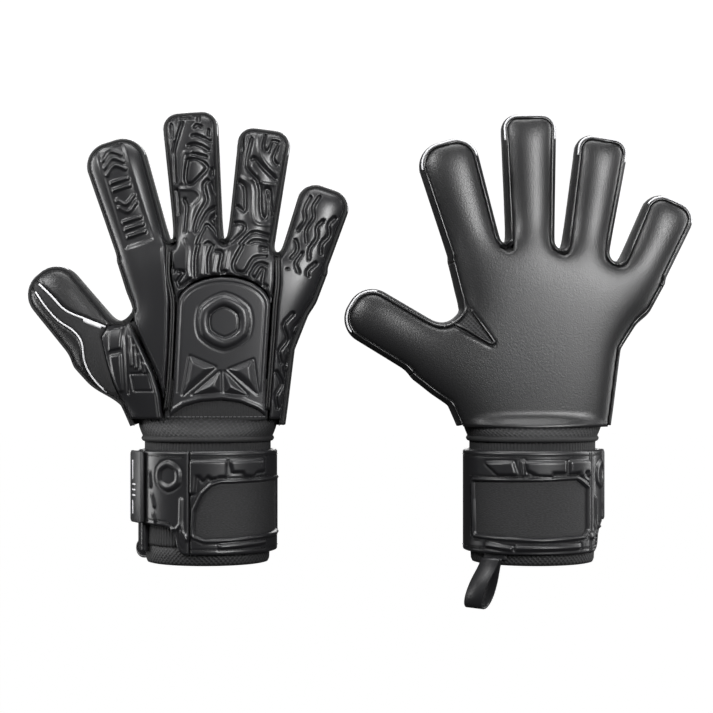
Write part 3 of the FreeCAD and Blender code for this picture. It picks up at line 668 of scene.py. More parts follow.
relief = {
    "middle": [
        [(-10.5, 74.5), (-10.5, 66.5)],
        [(-4, 75.5), (-9.5, 59.5), (-10, 54.5), (-10.5, 40.5)],
        [(-5, 78), (1.5, 77.5)],
        [(5.5, 78), (5.5, 75.5)],
        [(3, 71.5), (5, 73), (7, 71.5)],
        [(11, 69.5), (10.5, 66.5)],
        [(1.5, 66.5), (4, 66.5), (11, 63)],
        [(-1, 61), (2, 61.5), (6.5, 60), (10, 57.5)],
        [(1, 56), (8.5, 53.5)],
        [(-2, 52.5), (-4, 43.5), (-3.5, 39), (-1, 38.5), (1.5, 40), (7.5, 45.5), (8.5, 48), (6, 51),
         (1.5, 53), (-2, 52.5)],
        [(11.5, 46.5), (11, 43)],
        [(8.5, 40), (6, 37), (7, 30), (6.5, 27), (1.5, 19), (-1, 11.5), (0, 9.5)],
        [(10, 38.5), (11.5, 32)],
        [(11.5, 24), (7, 21), (3.5, 15.5), (1, 10)],
        [(-10, 35.5), (-9.5, 31), (-9.5, 21.5)],
        [(-5.5, 29.5), (-4.5, 24.5), (-6.5, 11)],
        [(11, 19), (9, 17), (11, 13.5)],
        [(11.5, 5), (9.5, 10), (6.5, 13.5), (4.5, 11.5), (1, 4.5), (-0.5, -0.5)],
        [(5, 2), (6.5, 3), (8, 1), (7, -2)],
    ],
    "middleRidge": [
        [(-9.5, 65), (-6, 76.5), (-5, 77.5), (4.5, 75)],
        [(-7, 40), (-4.5, 55), (-2.5, 57), (2, 56.5)],
        [(-4.5, 11), (-2, 24), (2.5, 29), (3, 32), (0, 35), (-8, 36)],
        [(-7, 6), (-5.5, 0)],
        [(-8.5, 23), (-7.5, 29)],
    ],
    "ring": [
        [(-12.5, 65.5), (-11.5, 58)],
        [(-7, 66), (-8, 53), (-7, 48), (-1, 42.5), (2, 37), (3.5, 26.5), (5, 21.5), (7, 20), (8, 23),
         (7.5, 28.5), (5.5, 35)],
        [(0.5, 68.5), (0.5, 61.5), (3, 59), (4, 60.5), (5, 65.5), (7, 66), (9, 65), (7, 56), (9.5, 52.5)],
        [(-5, 53), (-3.5, 54.5), (2, 49.5), (9.5, 44)],
        [(5, 35.5), (5.5, 37.5), (7.5, 36.5), (9, 29.5), (11, 23)],
        [(-11, 39.5), (-7, 36), (-5, 24)],
        [(-10, 25), (-6, 22.5)],
        [(-10, 15), (-7, 15.5), (-4.5, 14.5), (-4, 11), (-10.5, 3), (-10, 0), (-7, 0), (0.5, 10.5),
         (10.5, 10.5)],
        [(-5, -4), (-2, 1), (2.5, 6), (10.5, 6)],
        [(11, 3.5), (7, 2.5), (7, 0.5), (11, -0.5)],
    ],
    "ringRidge": [
        [(-11, 42.5), (-5, 39.5), (-2.5, 34), (-1, 22), (2.5, 16.5), (10, 16.5)],
        [(-11, 57.5), (-11, 67.5)],
        [(-3.5, 68.5), (-1, 58), (3.5, 52), (9.5, 47.5)],
        [(-3.5, 42), (2.5, 40.5), (9.5, 40.5)],
        [(-5, 53), (-5.5, 49), (-2, 45)],
    ],
    "knuckle": [
        [(-23, 182.5), (-21.5, 179)],
        [(-20, 176), (-18, 170.5)],
        [(-16, 164.5), (-14.5, 161.5), (-11.5, 163), (-8.5, 165.5)],
        [(-15.5, 170.5), (-12.5, 170), (-13, 168.5), (-15.5, 165)],
        [(-3, 188), (-5, 179), (-5, 167.5)],
        [(0, 188), (2.5, 188), (4.5, 185.5), (2.5, 179), (2.5, 170)],
        [(6.5, 182), (8.5, 182), (10, 180), (8.5, 170.5), (12, 170)],
        [(22, 186), (17, 176), (17, 172), (19, 170), (23.5, 170), (28.5, 178), (35.5, 179)],
        [(32.5, 184.5), (35.5, 184)],
        [(32.5, 182.5), (35.5, 182)],
        [(27, 167.5), (29.5, 166.5), (33, 172.5), (34.5, 170.5), (33.5, 163.5), (35.5, 161.5)],
        [(26.5, 168.5), (29.5, 173.5), (32.5, 175), (35.5, 174)],
    ],
    "knuckleRidge": [
        [(-11.5, 188), (-9.5, 182.5), (-10, 172.5), (-8.5, 165.5)],
        [(-1, 185.5), (-2, 169)],
        [(6, 180), (4.5, 170)],
        [(13.5, 182), (12, 171)],
    ],
    "index": [
        [(-6.5, 61), (-0.8, 65), (5, 61)], [(-6.5, 56.5), (-0.8, 60.5), (5, 56.5)],
        [(-6.5, 52), (-0.8, 56), (5, 52)],
        [(-5.5, 46.5), (4.5, 46.5)], [(-5.5, 42), (4.5, 42)],
        [(-5.5, 36), (-0.8, 32), (5, 36)], [(-5.5, 31.5), (-0.8, 27.5), (5, 31.5)],
        [(-5.5, 22.5), (5, 22.5)], [(-5.5, 18), (5, 18)], [(-5.5, 13.5), (5, 13.5)]],
    "little": [
        [(-8, 41), (-9, 33), (-6.5, 27), (-8.5, 20)],
        [(-3, 43), (-4.5, 36), (-2, 30), (-4, 22), (-1.5, 15)],
        [(9.5, 34), (7.5, 29), (9.5, 23), (7, 17), (8.5, 11)],
        [(3.5, 30), (1.5, 25), (3.5, 19), (1.5, 12), (3, 6)],
        [(-8, 14), (-5, 9), (-7, 3)], [(-2, 8), (-3.5, 1), (0, -4), (-1.5, -10)],
        [(7.5, 5), (4.5, -1), (7, -7), (4.5, -14)], [(-7, -4), (-4.5, -10), (-6.5, -18), (-4, -26)],
        [(1.5, -16), (-0.5, -22), (1.5, -29)]],
}
reliefSide = [
    [(51, 146), (45.5, 139), (47.5, 131), (43, 124), (44, 117)], [(56, 143), (51, 136), (53, 128)],
    [(41.5, 112), (44.5, 105), (41, 98), (42, 91)], [(48.5, 121), (46, 113), (49.5, 105), (46.5, 98)]]
relief = {name: [smoothLine(line, 3) for line in lines] for name, lines in relief.items()}
reliefSide = [smoothLine(line, 3) for line in reliefSide]
indexLook = dict(trough=[(-8, 8), (7.5, 8), (6.5, 67), (-8, 67)], sunk=1.1, raised=1.5, barWidth=1.7,
                 lip=0.9)
patchLook = dict(ring=2.3, ringGroove=0.7, groove=0.5, facet=1.9, facetGroove=0.8, archRib=0.8)
patchRing = dict(centre=(11.4, 141.0), corners=6, inner=8.8, outer=14.6)
patchFacets = [
    [(-8.3, 121.0), (6, 114.8), (-12.3, 99.0)], [(14.1, 113.5), (28, 119.0), (30.7, 99.5)],
    [(8.7, 112.1), (9, 100.8), (-6.6, 99.0)], [(11.5, 112.1), (12, 100.4), (24.5, 98.8)]]


knuckleLine = 186  # the digits' own relief starts above this height


def backTop(hand, detail, whole=None):
    # whole: the outline to round where a panel is only cut in two for bending
    def top(x, z, s, plain=False):
        level = hand.depth(x, z)
        if whole is not None:
            s = np.maximum(hand.edge(x, z) + backPad["inset"], areaDistance(x, z, whole) + 0.25)
        return level if plain else level + roundEdge(s, backPad["rounding"]) + detail(x, z, s)
    return top


def flat(x, z, s):
    return np.zeros_like(x)


def carve(x, z, grooves, ridges=()):
    found = -backPad["grooveDepth"] * rib(linesDistance(x, z, grooves), backPad["grooveWidth"])
    if ridges:
        found = found + backPad["ridgeHeight"] * rib(linesDistance(x, z, ridges),
                                                      backPad["ridgeWidth"])
    return found


def fan(hand, a, b):
    # line that runs up between two digits from their crotch
    lean = (hand.lean[a] + hand.lean[b]) / 2
    root = [hand.out(a, digitShape[a][1], 1.0), hand.out(b, -digitShape[b][1], 1.0)]
    x, z = (root[0][0] + root[1][0]) / 2, (root[0][1] + root[1][1]) / 2
    return (x, z), (x + 120 * math.sin(lean), z + 120 * math.cos(lean))


def makeBack(hand):
    g = hand.glove
    im, imUp = fan(hand, "index", "middle")
    mr, mrUp = fan(hand, "middle", "ring")
    rl, rlUp = fan(hand, "ring", "little")
    gap = backPad["gap"]

    def panel(words, area, detail, slotName, nodes, material, digit=None, inset=None, shift=gap,
              pitch=None, thick=None, whole=None):
        rim = backPad["inset"] if inset is None else inset

        def region(x, z):
            return np.maximum(hand.edge(x, z) + rim, areaDistance(x, z, area) + shift)

        xs, zs = [p[0] for p in area], [p[1] for p in area]
        reach = backPad["reach"]
        span = (max(min(xs), reach[0]), min(max(xs), reach[1]), max(min(zs), reach[2]),
                min(max(zs), reach[3]))
        piece = padShell(namePiece(g, words), region, backTop(hand, detail, whole),
                         thick or backPad["thick"], span, pitch or backPad["pitch"],
                         lambda x, z, h: hand.world(x, z, -h), material)
        done(piece, slotName, nodes, None if digit else f"{g}_hand")
        if digit:
            hand.bend(piece, digit)
        return piece

    # index finger with the long side panel that runs down to the wrist
    edgeLeft = [(x - 2.9, z) for x, z in [im] + seamIndex[:3]] + [(-24.2, 90)]
    indexArea = edgeLeft + [(-24.6, 97)] + [(x + 0.8, z) for x, z in seamThumb[3::-1]]
    indexArea += [(-56, 158), (-70, 188), (-120, 205), (-120, 290), (imUp[0], 290), imUp]

    def indexDetail(x, z, s):
        dx, dz = hand.into("index", x, z)
        trough = areaDistance(dx, dz, indexLook["trough"])
        found = -indexLook["sunk"] * smoothStep(-trough, -2.0, 1.0)
        found = found + indexLook["raised"] * rib(linesDistance(dx, dz, relief["index"]),
                                                  indexLook["barWidth"])
        lip = lineDistance(x, z, edgeLeft)
        return found + indexLook["lip"] * rib(lip - 1.6, 1.6) * (z < im[1])

    panel("indexBack", indexArea, indexDetail, "backhand_foam",
          [f"{g}_index_back_panel", f"{g}_index_side_panel"], "charcoalFoamSkin", "index")

    # middle and ring fingers with the knuckle relief
    def knuckleDetail(digit):
        def detail(x, z, s):
            dx, dz = hand.into(digit, x, z)
            found = carve(dx, dz, relief[digit], relief[digit + "Ridge"])
            low = carve(x, z, relief["knuckle"], relief["knuckleRidge"])
            return np.where(z > knuckleLine, found, low)
        return detail

    topLine = [(x, z + 1.0) for x, z in patchTop]
    left = [im, (im[0] + 0.3, 168)] + topLine[:8]
    right = topLine[7:] + [(rl[0] - 0.3, 165), rl]
    both = left + right[1:] + [rlUp, imUp]
    panel("middleBack", left + [(mr[0], 176), mr, mrUp, imUp], knuckleDetail("middle"),
          "backhand_foam", [f"{g}_middle_back_panel", f"{g}_knuckle_panel"], "charcoalFoamSkin",
          "middle", shift=0.0, whole=both)
    panel("ringBack", right + [rlUp, mrUp, mr, (mr[0], 176)], knuckleDetail("ring"),
          "backhand_foam", [f"{g}_ring_back_panel"], "charcoalFoamSkin", "ring", shift=0.0,
          whole=both)

    # smooth patch over the back of the hand
    def patchDetail(x, z, s):
        cx, cz = patchRing["centre"]
        turn = np.arctan2(z - cz, x - cx)
        step = 2 * np.pi / patchRing["corners"]
        away = np.hypot(x - cx, z - cz) * np.cos((turn + step / 2) % step - step / 2)
        away = 0.35 * away + 0.65 * np.hypot(x - cx, z - cz)
        middle = (patchRing["inner"] + patchRing["outer"]) / 2
        half = (patchRing["outer"] - patchRing["inner"]) / 2
        found = patchLook["ring"] * np.sqrt(np.clip(1 - ((away - middle) / half) ** 2, 0, 1))
        found = found - patchLook["ringGroove"] * rib(np.abs(away - patchRing["inner"] + 0.4), 1.0)
        found = found - patchLook["groove"] * rib(np.abs(away - patchRing["outer"] - 1.8), 0.8)
        for facet in patchFacets:
            d = areaDistance(x, z, facet)
            found = found + patchLook["facet"] * smoothStep(-d, -0.2, 3.4)
            found = found - patchLook["facetGroove"] * rib(np.abs(d - 0.5), 0.9)
        arch = lineDistance(x, z, patchBottom[1:-1])
        found = found - patchLook["groove"] * rib(np.abs(-s - 3.0), 0.9) * (z > 100)
        return found + patchLook["archRib"] * rib(np.abs(arch - 2.4), 1.8)

    panel("punchPatch", patchTop + patchBottom, patchDetail, "punch_foam", [f"{g}_punch_patch"],
          "punchPatchFoam", shift=0.4)

    # little finger with the side panel
    littleArea = [(x + 2.6, z) for x, z in [rl, (rl[0] + 0.2, 163)] + seamLittle]
    littleArea += [(62, 84), (70, 120), (112, 170), (112, 262), rlUp]

    def littleDetail(x, z, s):
        dx, dz = hand.into("little", x, z)
        return carve(dx, dz, relief["little"]) * (dz > -4) + carve(x, z, reliefSide)

    panel("littleBack", littleArea, littleDetail, "backhand_foam",
          [f"{g}_little_back_panel", f"{g}_little_side_panel"], "charcoalFoamSkin", "little")

    # thumb base: two raised blocks beside an upright rib panel
    def wedgeDetail(x, z, s):
        found = np.zeros_like(x)
        for block in wedgeLook["blocks"]:
            found = found + wedgeLook["raised"] * smoothStep(-areaDistance(x, z, block), -0.4, 1.2)
        bars = [[(-43.5 + 2.6 * k, 132.0 - 5.0 * k), (-42.5 + 2.6 * k, 116.0 - 1.5 * k)]
                for k in range(wedgeLook["bars"])]
        found = found + wedgeLook["barHeight"] * rib(linesDistance(x, z, bars), 1.2)
        found = found - wedgeLook["groove"] * rib(np.abs(areaDistance(x, z, wedgeLook["box"])), 0.9)
        strip = lineDistance(x, z, seamThumb)
        found = found + 1.0 * rib(np.abs(strip - 2.2), 2.2)
        return found - wedgeLook["channelDepth"] * rib(lineDistance(x, z, wedgeLook["channel"]), 0.9)

    panel("thumbBase", thumbWedge, wedgeDetail, "backhand_foam", [f"{g}_thumb_base_panel"],
          "charcoalFoamSkin", inset=2.0)

    # thumb: knit between two pipings, latex wrapped round from the palm on both sides
    spots = {k: [hand.out("thumb", *handRight.into("thumb", *p)) for p in line[:-1]] + [line[-1]]
             for k, line in (("front", thumbSeamFront), ("back", thumbSeamBack))}
    if g == "left":
        spots["back"] = spots["back"][:4] + [(-67, 115), (-58, 107), (-50, 101), (-45, 95)]
        spots["front"][-1] = (-58.2, 138.2)
    front = [tuple(p) for p in smoothLine(spots["front"])]
    back = [tuple(p) for p in smoothLine(spots["back"])]
    wedgeSide = [(-61.3, 132.5), (-57.6, 117.2), (-54.0, 105.1), (-50.4, 97.3)]
    panel("thumbKnit", front + wedgeSide + [(-49, 90)] + back[::-1], flat, "gusset_knit",
          [f"{g}_thumb_back_panel"], "warpKnitMesh", "thumb", shift=-0.3, pitch=1.0, thick=3.0)
    far = hand.line("thumb", [(40, 80), (40, 0)])
    panel("thumbWrapFront", front + [(-44, 144), (-44, 160), far[1], far[0],
          hand.out("thumb", -6, 90)], flat, "palm_latex", [], "matteGripLatex", "thumb", pitch=1.0)
    near = hand.line("thumb", [(-40, 90), (-40, -30)])
    panel("thumbWrapBack", back[::-1] + [hand.out("thumb", -10, 90), near[0], near[1], (-70, 84),
          (-52, 84)], flat, "palm_latex", [], "matteGripLatex", "thumb", pitch=1.0)

    def raised(points, lift=0.0):
        p = np.array(points, float)
        p = p[hand.edge(p[:, 0], p[:, 1]) < -2.0]
        d = hand.depth(p[:, 0], p[:, 1]) + lift
        return list(hand.world(p[:, 0], p[:, 1], -d))

    pipes = [tube(namePiece(g, "thumbPipingFront"), raised(front[2:], 0.1),
                  thumbTrim["frontPiping"], "whitePiping"),
             tube(namePiece(g, "thumbPipingBack"), raised(back[2:], 0.1),
                  thumbTrim["backPiping"], "whitePiping")]
    for pipe in pipes:
        done(pipe, "gusset_knit")
        hand.bend(pipe, "thumb")
    bandLine = smoothLine([front[18], (-69.7, 141.6), (-60.5, 138.0)])
    band = tube(namePiece(g, "thumbWhiteBinding"), raised(bandLine, -0.2),
                thumbTrim["binding"], "whitePiping")
    done(band, "gusset_knit")
    hand.bend(band, "thumb")

    # twin cords in the channels beside the knuckles and the patch
    cords = []
    for side, line in ((-1, [im] + [(im[0] - 0.2, 168)] + seamIndex[:3] + [(-21.0, 90)]),
                       (1, [rl, (rl[0] + 0.1, 164)] + seamLittle[:3] + [(34.6, 90)])):
        for k, off in enumerate(seamCord["offsets"]):
            path = smoothLine([(x + side * off, z) for x, z in line])
            cord = tube(namePiece(g, f"seamCord{'Left' if side < 0 else 'Right'}{k + 1}"),
                        raised(path, -seamCord["sunk"]), seamCord["radius"], "blackCord")
            done(cord, "backhand_foam", (), f"{g}_hand")
        cords.append(smoothLine([(x - side * 1.5, z) for x, z in line]))

    rows = [raised(line, -0.1) for line in cords]
    rows.append(raised([(11 + 25.0 * math.cos(a), 150.5 + 14.6 * math.sin(a))
                        for a in np.linspace(0.06, math.pi - 0.06, 40)], -0.35))
    rows.append(raised([(11 + 29.8 * math.cos(a), 150.5 + 19.4 * math.sin(a))
                        for a in np.linspace(0.3, math.pi - 0.3, 40)], -0.1))
    rows.append(raised(smoothLine([(33.0, 89.6), (29.5, 91.6), (20.5, 95.3), (10.5, 96.8),
                                   (-2.0, 95.9), (-11.2, 93.4), (-16.6, 90.2)]), -0.1))
    rows.append(raised(smoothLine([(x + 3.4, z) for x, z in seamThumb]), 0.1))
    rows.append(raised(smoothLine([(x - 1.6, z) for x, z in seamThumb]), 0.2))
    piece = stitches(namePiece(g, "backStitches"), rows)
    done(piece, "backhand_foam", (), f"{g}_hand")


handRight = hands["right"]
for hand in hands.values():
    makePalm(hand)
    print(hand.glove, "palm made")
    makeBack(hand)
    print(hand.glove, "back made")


# knit side walls, edge binding and piping, all round the outline
edgeBand = dict(wall=1.6, turns=9, spacing=1.2, binding=0.95, piping=0.9, tipPiping=0.55,
                tipLength=0.8)


def traceOutline(hand):
    # walks along the zero line of the outline on its 1 mm grid, from the thumb side of the wrist
    u, v, s = hand.silhouette
    links = {}

    def cross(i, j, di, dj):
        share = s[i, j] / (s[i, j] - s[i + di, j + dj])
        return (u[i] + di * share, v[j] + dj * share)

    spots = {}
    inside = (s < 0).astype(int)
    corners = inside[:-1, :-1] + inside[1:, :-1] + inside[:-1, 1:] + inside[1:, 1:]
    for i, j in np.argwhere((corners > 0) & (corners < 4)):
        found = []
        for a, b, da, db in ((i, j, 1, 0), (i + 1, j, 0, 1), (i, j + 1, 1, 0), (i, j, 0, 1)):
            if (s[a, b] < 0) != (s[a + da, b + db] < 0):
                key = (a, b, da, db)
                spots[key] = cross(a, b, da, db)
                found.append(key)
        for one, two in zip(found[::2], found[1::2]):
            links.setdefault(one, []).append(two)
            links.setdefault(two, []).append(one)
    start = max(spots, key=lambda k: spots[k][1])
    chain = [start]
    while True:
        following = [k for k in links[chain[-1]] if k not in chain[-2:-1]]
        if not following or (len(chain) > 2 and following[0] == start):
            break
        chain.append(following[0])
    points = np.array([spots[k] for k in chain])
    low = int(np.argmin(points[:, 1]))
    points = np.roll(points, -low, 0)
    if points[len(points) // 4, 0] > points[3 * len(points) // 4, 0]:
        points = points[::-1]
    points = points[points[:, 1] > palmPad["wristLine"] - 1]
    gone = np.concatenate([[0], np.cumsum(np.hypot(*np.diff(points, axis=0).T))])
    at = np.arange(0, gone[-1], edgeBand["spacing"])
    return np.stack([np.interp(at, gone, points[:, k]) for k in (0, 1)], 1)


def edgeFrame(hand, points):
    x, z = points[:, 0].copy(), points[:, 1].copy()
    for _ in range(2):
        d = hand.edge(x, z)
        gx = (hand.edge(x + 0.2, z) - hand.edge(x - 0.2, z)) / 0.4
        gz = (hand.edge(x, z + 0.2) - hand.edge(x, z - 0.2)) / 0.4
        size = np.maximum(np.hypot(gx, gz), 0.2)
        gx, gz = gx / size, gz / size
        x, z = x - d * gx, z - d * gz
    return np.stack([x, z], 1), np.stack([gx, gz], 1)


def makeEdges(hand):
    g = hand.glove
    points, outward = edgeFrame(hand, traceOutline(hand))
    owner = []
    for x, z in points:
        near = [(abs(dx) - digitShape[d][1], d) for d in digitNames
                for dx, dz in [hand.into(d, x, z)] if dz > 0 and abs(dx) < digitShape[d][1] + 9]
        owner.append(min(near)[1] if near else "hand")
    runs, first = [], 0
    for k in range(1, len(points) + 1):
        if k == len(points) or owner[k] != owner[first]:
            runs.append((owner[first], first, min(k, len(points) - 1)))
            first = k
    inset = {1: palmPad["inset"], -1: backPad["inset"]}
    depth = {side: hand.depth(*(points - outward * (inset[side] + 0.2)).T) for side in (1, -1)}
    wall, turns = edgeBand["wall"], edgeBand["turns"]

    def wallRun(name, first, last):
        rows = []
        for k in range(first, last + 1):
            (x, z), (nx, nz) = points[k], outward[k]
            angles = np.linspace(-math.pi / 2, math.pi / 2, turns)
            outer, inner = [], []
            for a in angles:
                side = 1 if a > 0 else -1
                back = inset[side] * (1 - math.cos(a))
                d = math.sin(a) * depth[side][k]
                outer.append(hand.world(x - nx * back, z - nz * back, d))
                inner.append(hand.world(x - nx * (back + wall), z - nz * (back + wall), d * 0.97))
            rows.append(outer + inner[::-1])
        count = len(rows[0])
        faces = tubeFaces(len(rows), count)
        weave = [(i * 0.016, k * 0.015) for i in range(len(rows)) for k in range(count)]
        return finishMesh(name, [p for row in rows for p in row], faces, "warpKnitMesh", weave)

    def line(first, last, side, back, lift):
        found = []
        for k in range(first, last + 1):
            (x, z), (nx, nz) = points[k], outward[k]
            if back < inset[side]:
                d = depth[side][k] * math.sin(math.acos(1 - back / inset[side])) + lift
            else:
                d = float(hand.depth(np.array([x - nx * back]), np.array([z - nz * back]))[0]) + lift
            found.append(hand.world(x - nx * back, z - nz * back, side * d))
        return found

    gussetNodes = {d: [f"{g}_{d}_gusset"] for d in digitNames}
    used = {}
    for body, first, last in runs:
        if last == first:
            continue
        count = used[body] = used.get(body, 0) + 1
        label = body + ("" if count == 1 else str(count))
        pieces = [(wallRun(namePiece(g, label + "SideWall"), first, last), "gusset_knit",
                   gussetNodes.get(body, [f"{g}_edge_gussets"]) if count == 1 else [])]
        pieces.append((tube(namePiece(g, label + "BackBinding"), line(first, last, -1, 1.35, -0.5),
                            edgeBand["binding"], "edgeKnit", 7), "gusset_knit", []))
        pieces.append((tube(namePiece(g, label + "PalmPiping"), line(first, last, 1, 2.8, -0.2),
                            edgeBand["piping"], "glossPiping", 7), "palm_latex", []))
        if body != "hand":
            high = [k for k in range(first, last + 1)
                    if hand.into(body, *points[k])[1] > digitShape[body][0] * edgeBand["tipLength"]]
            if len(high) > 3:
                for side, word in ((1, "Palm"), (-1, "Back")):
                    back, lift = (1.5, 0.75) if side > 0 else (0.5, 0.15)
                    pieces.append((tube(namePiece(g, label + "TipPiping" + word),
                                        line(high[0], high[-1], side, back, lift),
                                        edgeBand["tipPiping"] * (1 if side > 0 else 0.7),
                                        "whitePiping", 6), "gusset_knit", []))
        for piece, slotName, nodes in pieces:
            done(piece, slotName, nodes, None if body != "hand" else f"{g}_hand")
            if body != "hand":
                hand.bend(piece, body)
    rows = {}
    for body, first, last in runs:
        if last - first > 4:
            rows.setdefault(body, []).append(line(first, last, -1, 3.1, 0.05))
    for body, lines in rows.items():
        piece = stitches(namePiece(g, body + "EdgeStitches"), lines)
        done(piece, "backhand_foam", (), f"{g}_hand" if body == "hand" else None)
        if body != "hand":
            hand.bend(piece, body)


for hand in hands.values():
    makeEdges(hand)
    print(hand.glove, "edges made")


# the wrist: every piece is laid out flat, arc length by height, and wrapped round an oval
wristShape = dict(halfWidth=37.0, halfDepth=28.0, arcGrow=4.0)
wristTurns = np.linspace(-420, 420, 3361)
arcX = (wristShape["halfWidth"] + wristShape["arcGrow"]) * np.sin(np.radians(wristTurns))
arcY = (wristShape["halfDepth"] + wristShape["arcGrow"]) * -np.cos(np.radians(wristTurns))
arcLength = np.concatenate([[0], np.cumsum(np.hypot(np.diff(arcX), np.diff(arcY)))])
arcLength = arcLength - np.interp(0, wristTurns, arcLength)


def arc(turn):
    return float(np.interp(turn, wristTurns, arcLength))


def front(x):
    # arc length at a place seen straight from the front
    return arc(math.degrees(math.asin(max(-1.0, min(1.0, x / 41.2)))))


def wrap(x0, u, z, grow):
    turn = np.radians(np.interp(u, arcLength, wristTurns))
    return np.stack([x0 + (wristShape["halfWidth"] + grow) * np.sin(turn),
                     -(wristShape["halfDepth"] + grow) * np.cos(turn), z + 0 * turn], -1)


def wristPad(name, x0, area, holes, grow, thick, box, detail, material, rounding=1.3, pitch=0.7):
    def region(u, z):
        found = areaDistance(u, z, area)
        for hole in holes:
            found = np.maximum(found, -areaDistance(u, z, hole))
        return found

    def top(u, z, s, plain=False):
        base = grow + 0 * u
        return base if plain else base + roundEdge(s, rounding) + detail(u, z, s)

    return padShell(name, region, top, thick, box, pitch, lambda u, z, h: wrap(x0, u, z, h), material)


strapSize = dict(bottom=7.0, top=66.5, thick=3.6, face=4.0, windowFace=3.0)
blocks = {
    "right": [
        [(-7.9, 60.8), (13, 60.8), (13, 52.4), (9, 52.4), (8, 51.6), (5, 51.4), (3, 53), (0.2, 50.2),
         (-1.5, 52.8), (-4, 53), (-4.8, 43), (-7.9, 42.4)],
        [(16, 60.8), (34, 60.8), (34.4, 55), (30, 54.6), (28, 52.2), (24.2, 52.8), (22.8, 55), (17, 55)],
        [(9.5, 12.9), (35.0, 14.2), (35.2, 12.6), (9.5, 11.0)]],
    "left": [
        [(-29, 59.5), (-14.5, 60.3), (-12.4, 53.4), (-22.3, 53.2)],
        [(-9.6, 61), (-8.2, 61), (-7.6, 52.6), (-9.0, 52.6)],
        [(-7, 60.4), (16, 60.4), (16, 54.6), (8.5, 54.6), (8, 52.4), (0, 52.8), (-6, 56)],
        [(19, 60.6), (33, 60.6), (33, 57.4), (32, 52), (30.4, 52), (30, 54.8), (27.6, 54.8), (27, 52.2),
         (25, 52.2), (24.6, 54.6), (19, 54.0)],
        [(-29, 13.2), (-15, 11.2), (-15.2, 9.6), (-29, 11.4)],
        [(-12.4, 12.2), (24.8, 12.2), (24.8, 10.4), (-12.4, 9.8)]]}
windows = {
    "right": [(-6.4, 22.5), (-4.2, 32), (0.2, 41.4), (5.6, 46.4), (10.6, 47.8)],
    "left": [(-36, 48.2), (0, 48.9), (23.3, 49.6), (29.8, 44.6), (34, 36.7), (36.2, 28.1), (34, 21),
             (27.6, 18.1), (2.6, 16.9), (-35.3, 18.3)]}
straps = {"right": dict(end=-64.0, hinge=-11.0, way=1), "left": dict(end=104.0, hinge=51.0, way=-1)}


# bottom, top and start of each raised dash on the pull tab
tabDashes = [(29, 37, 6.4), (39.4, 40.4, 3.4), (42.6, 43.6, 3.4), (45.8, 46.8, 3.4), (49.2, 60.5, 6.4)]


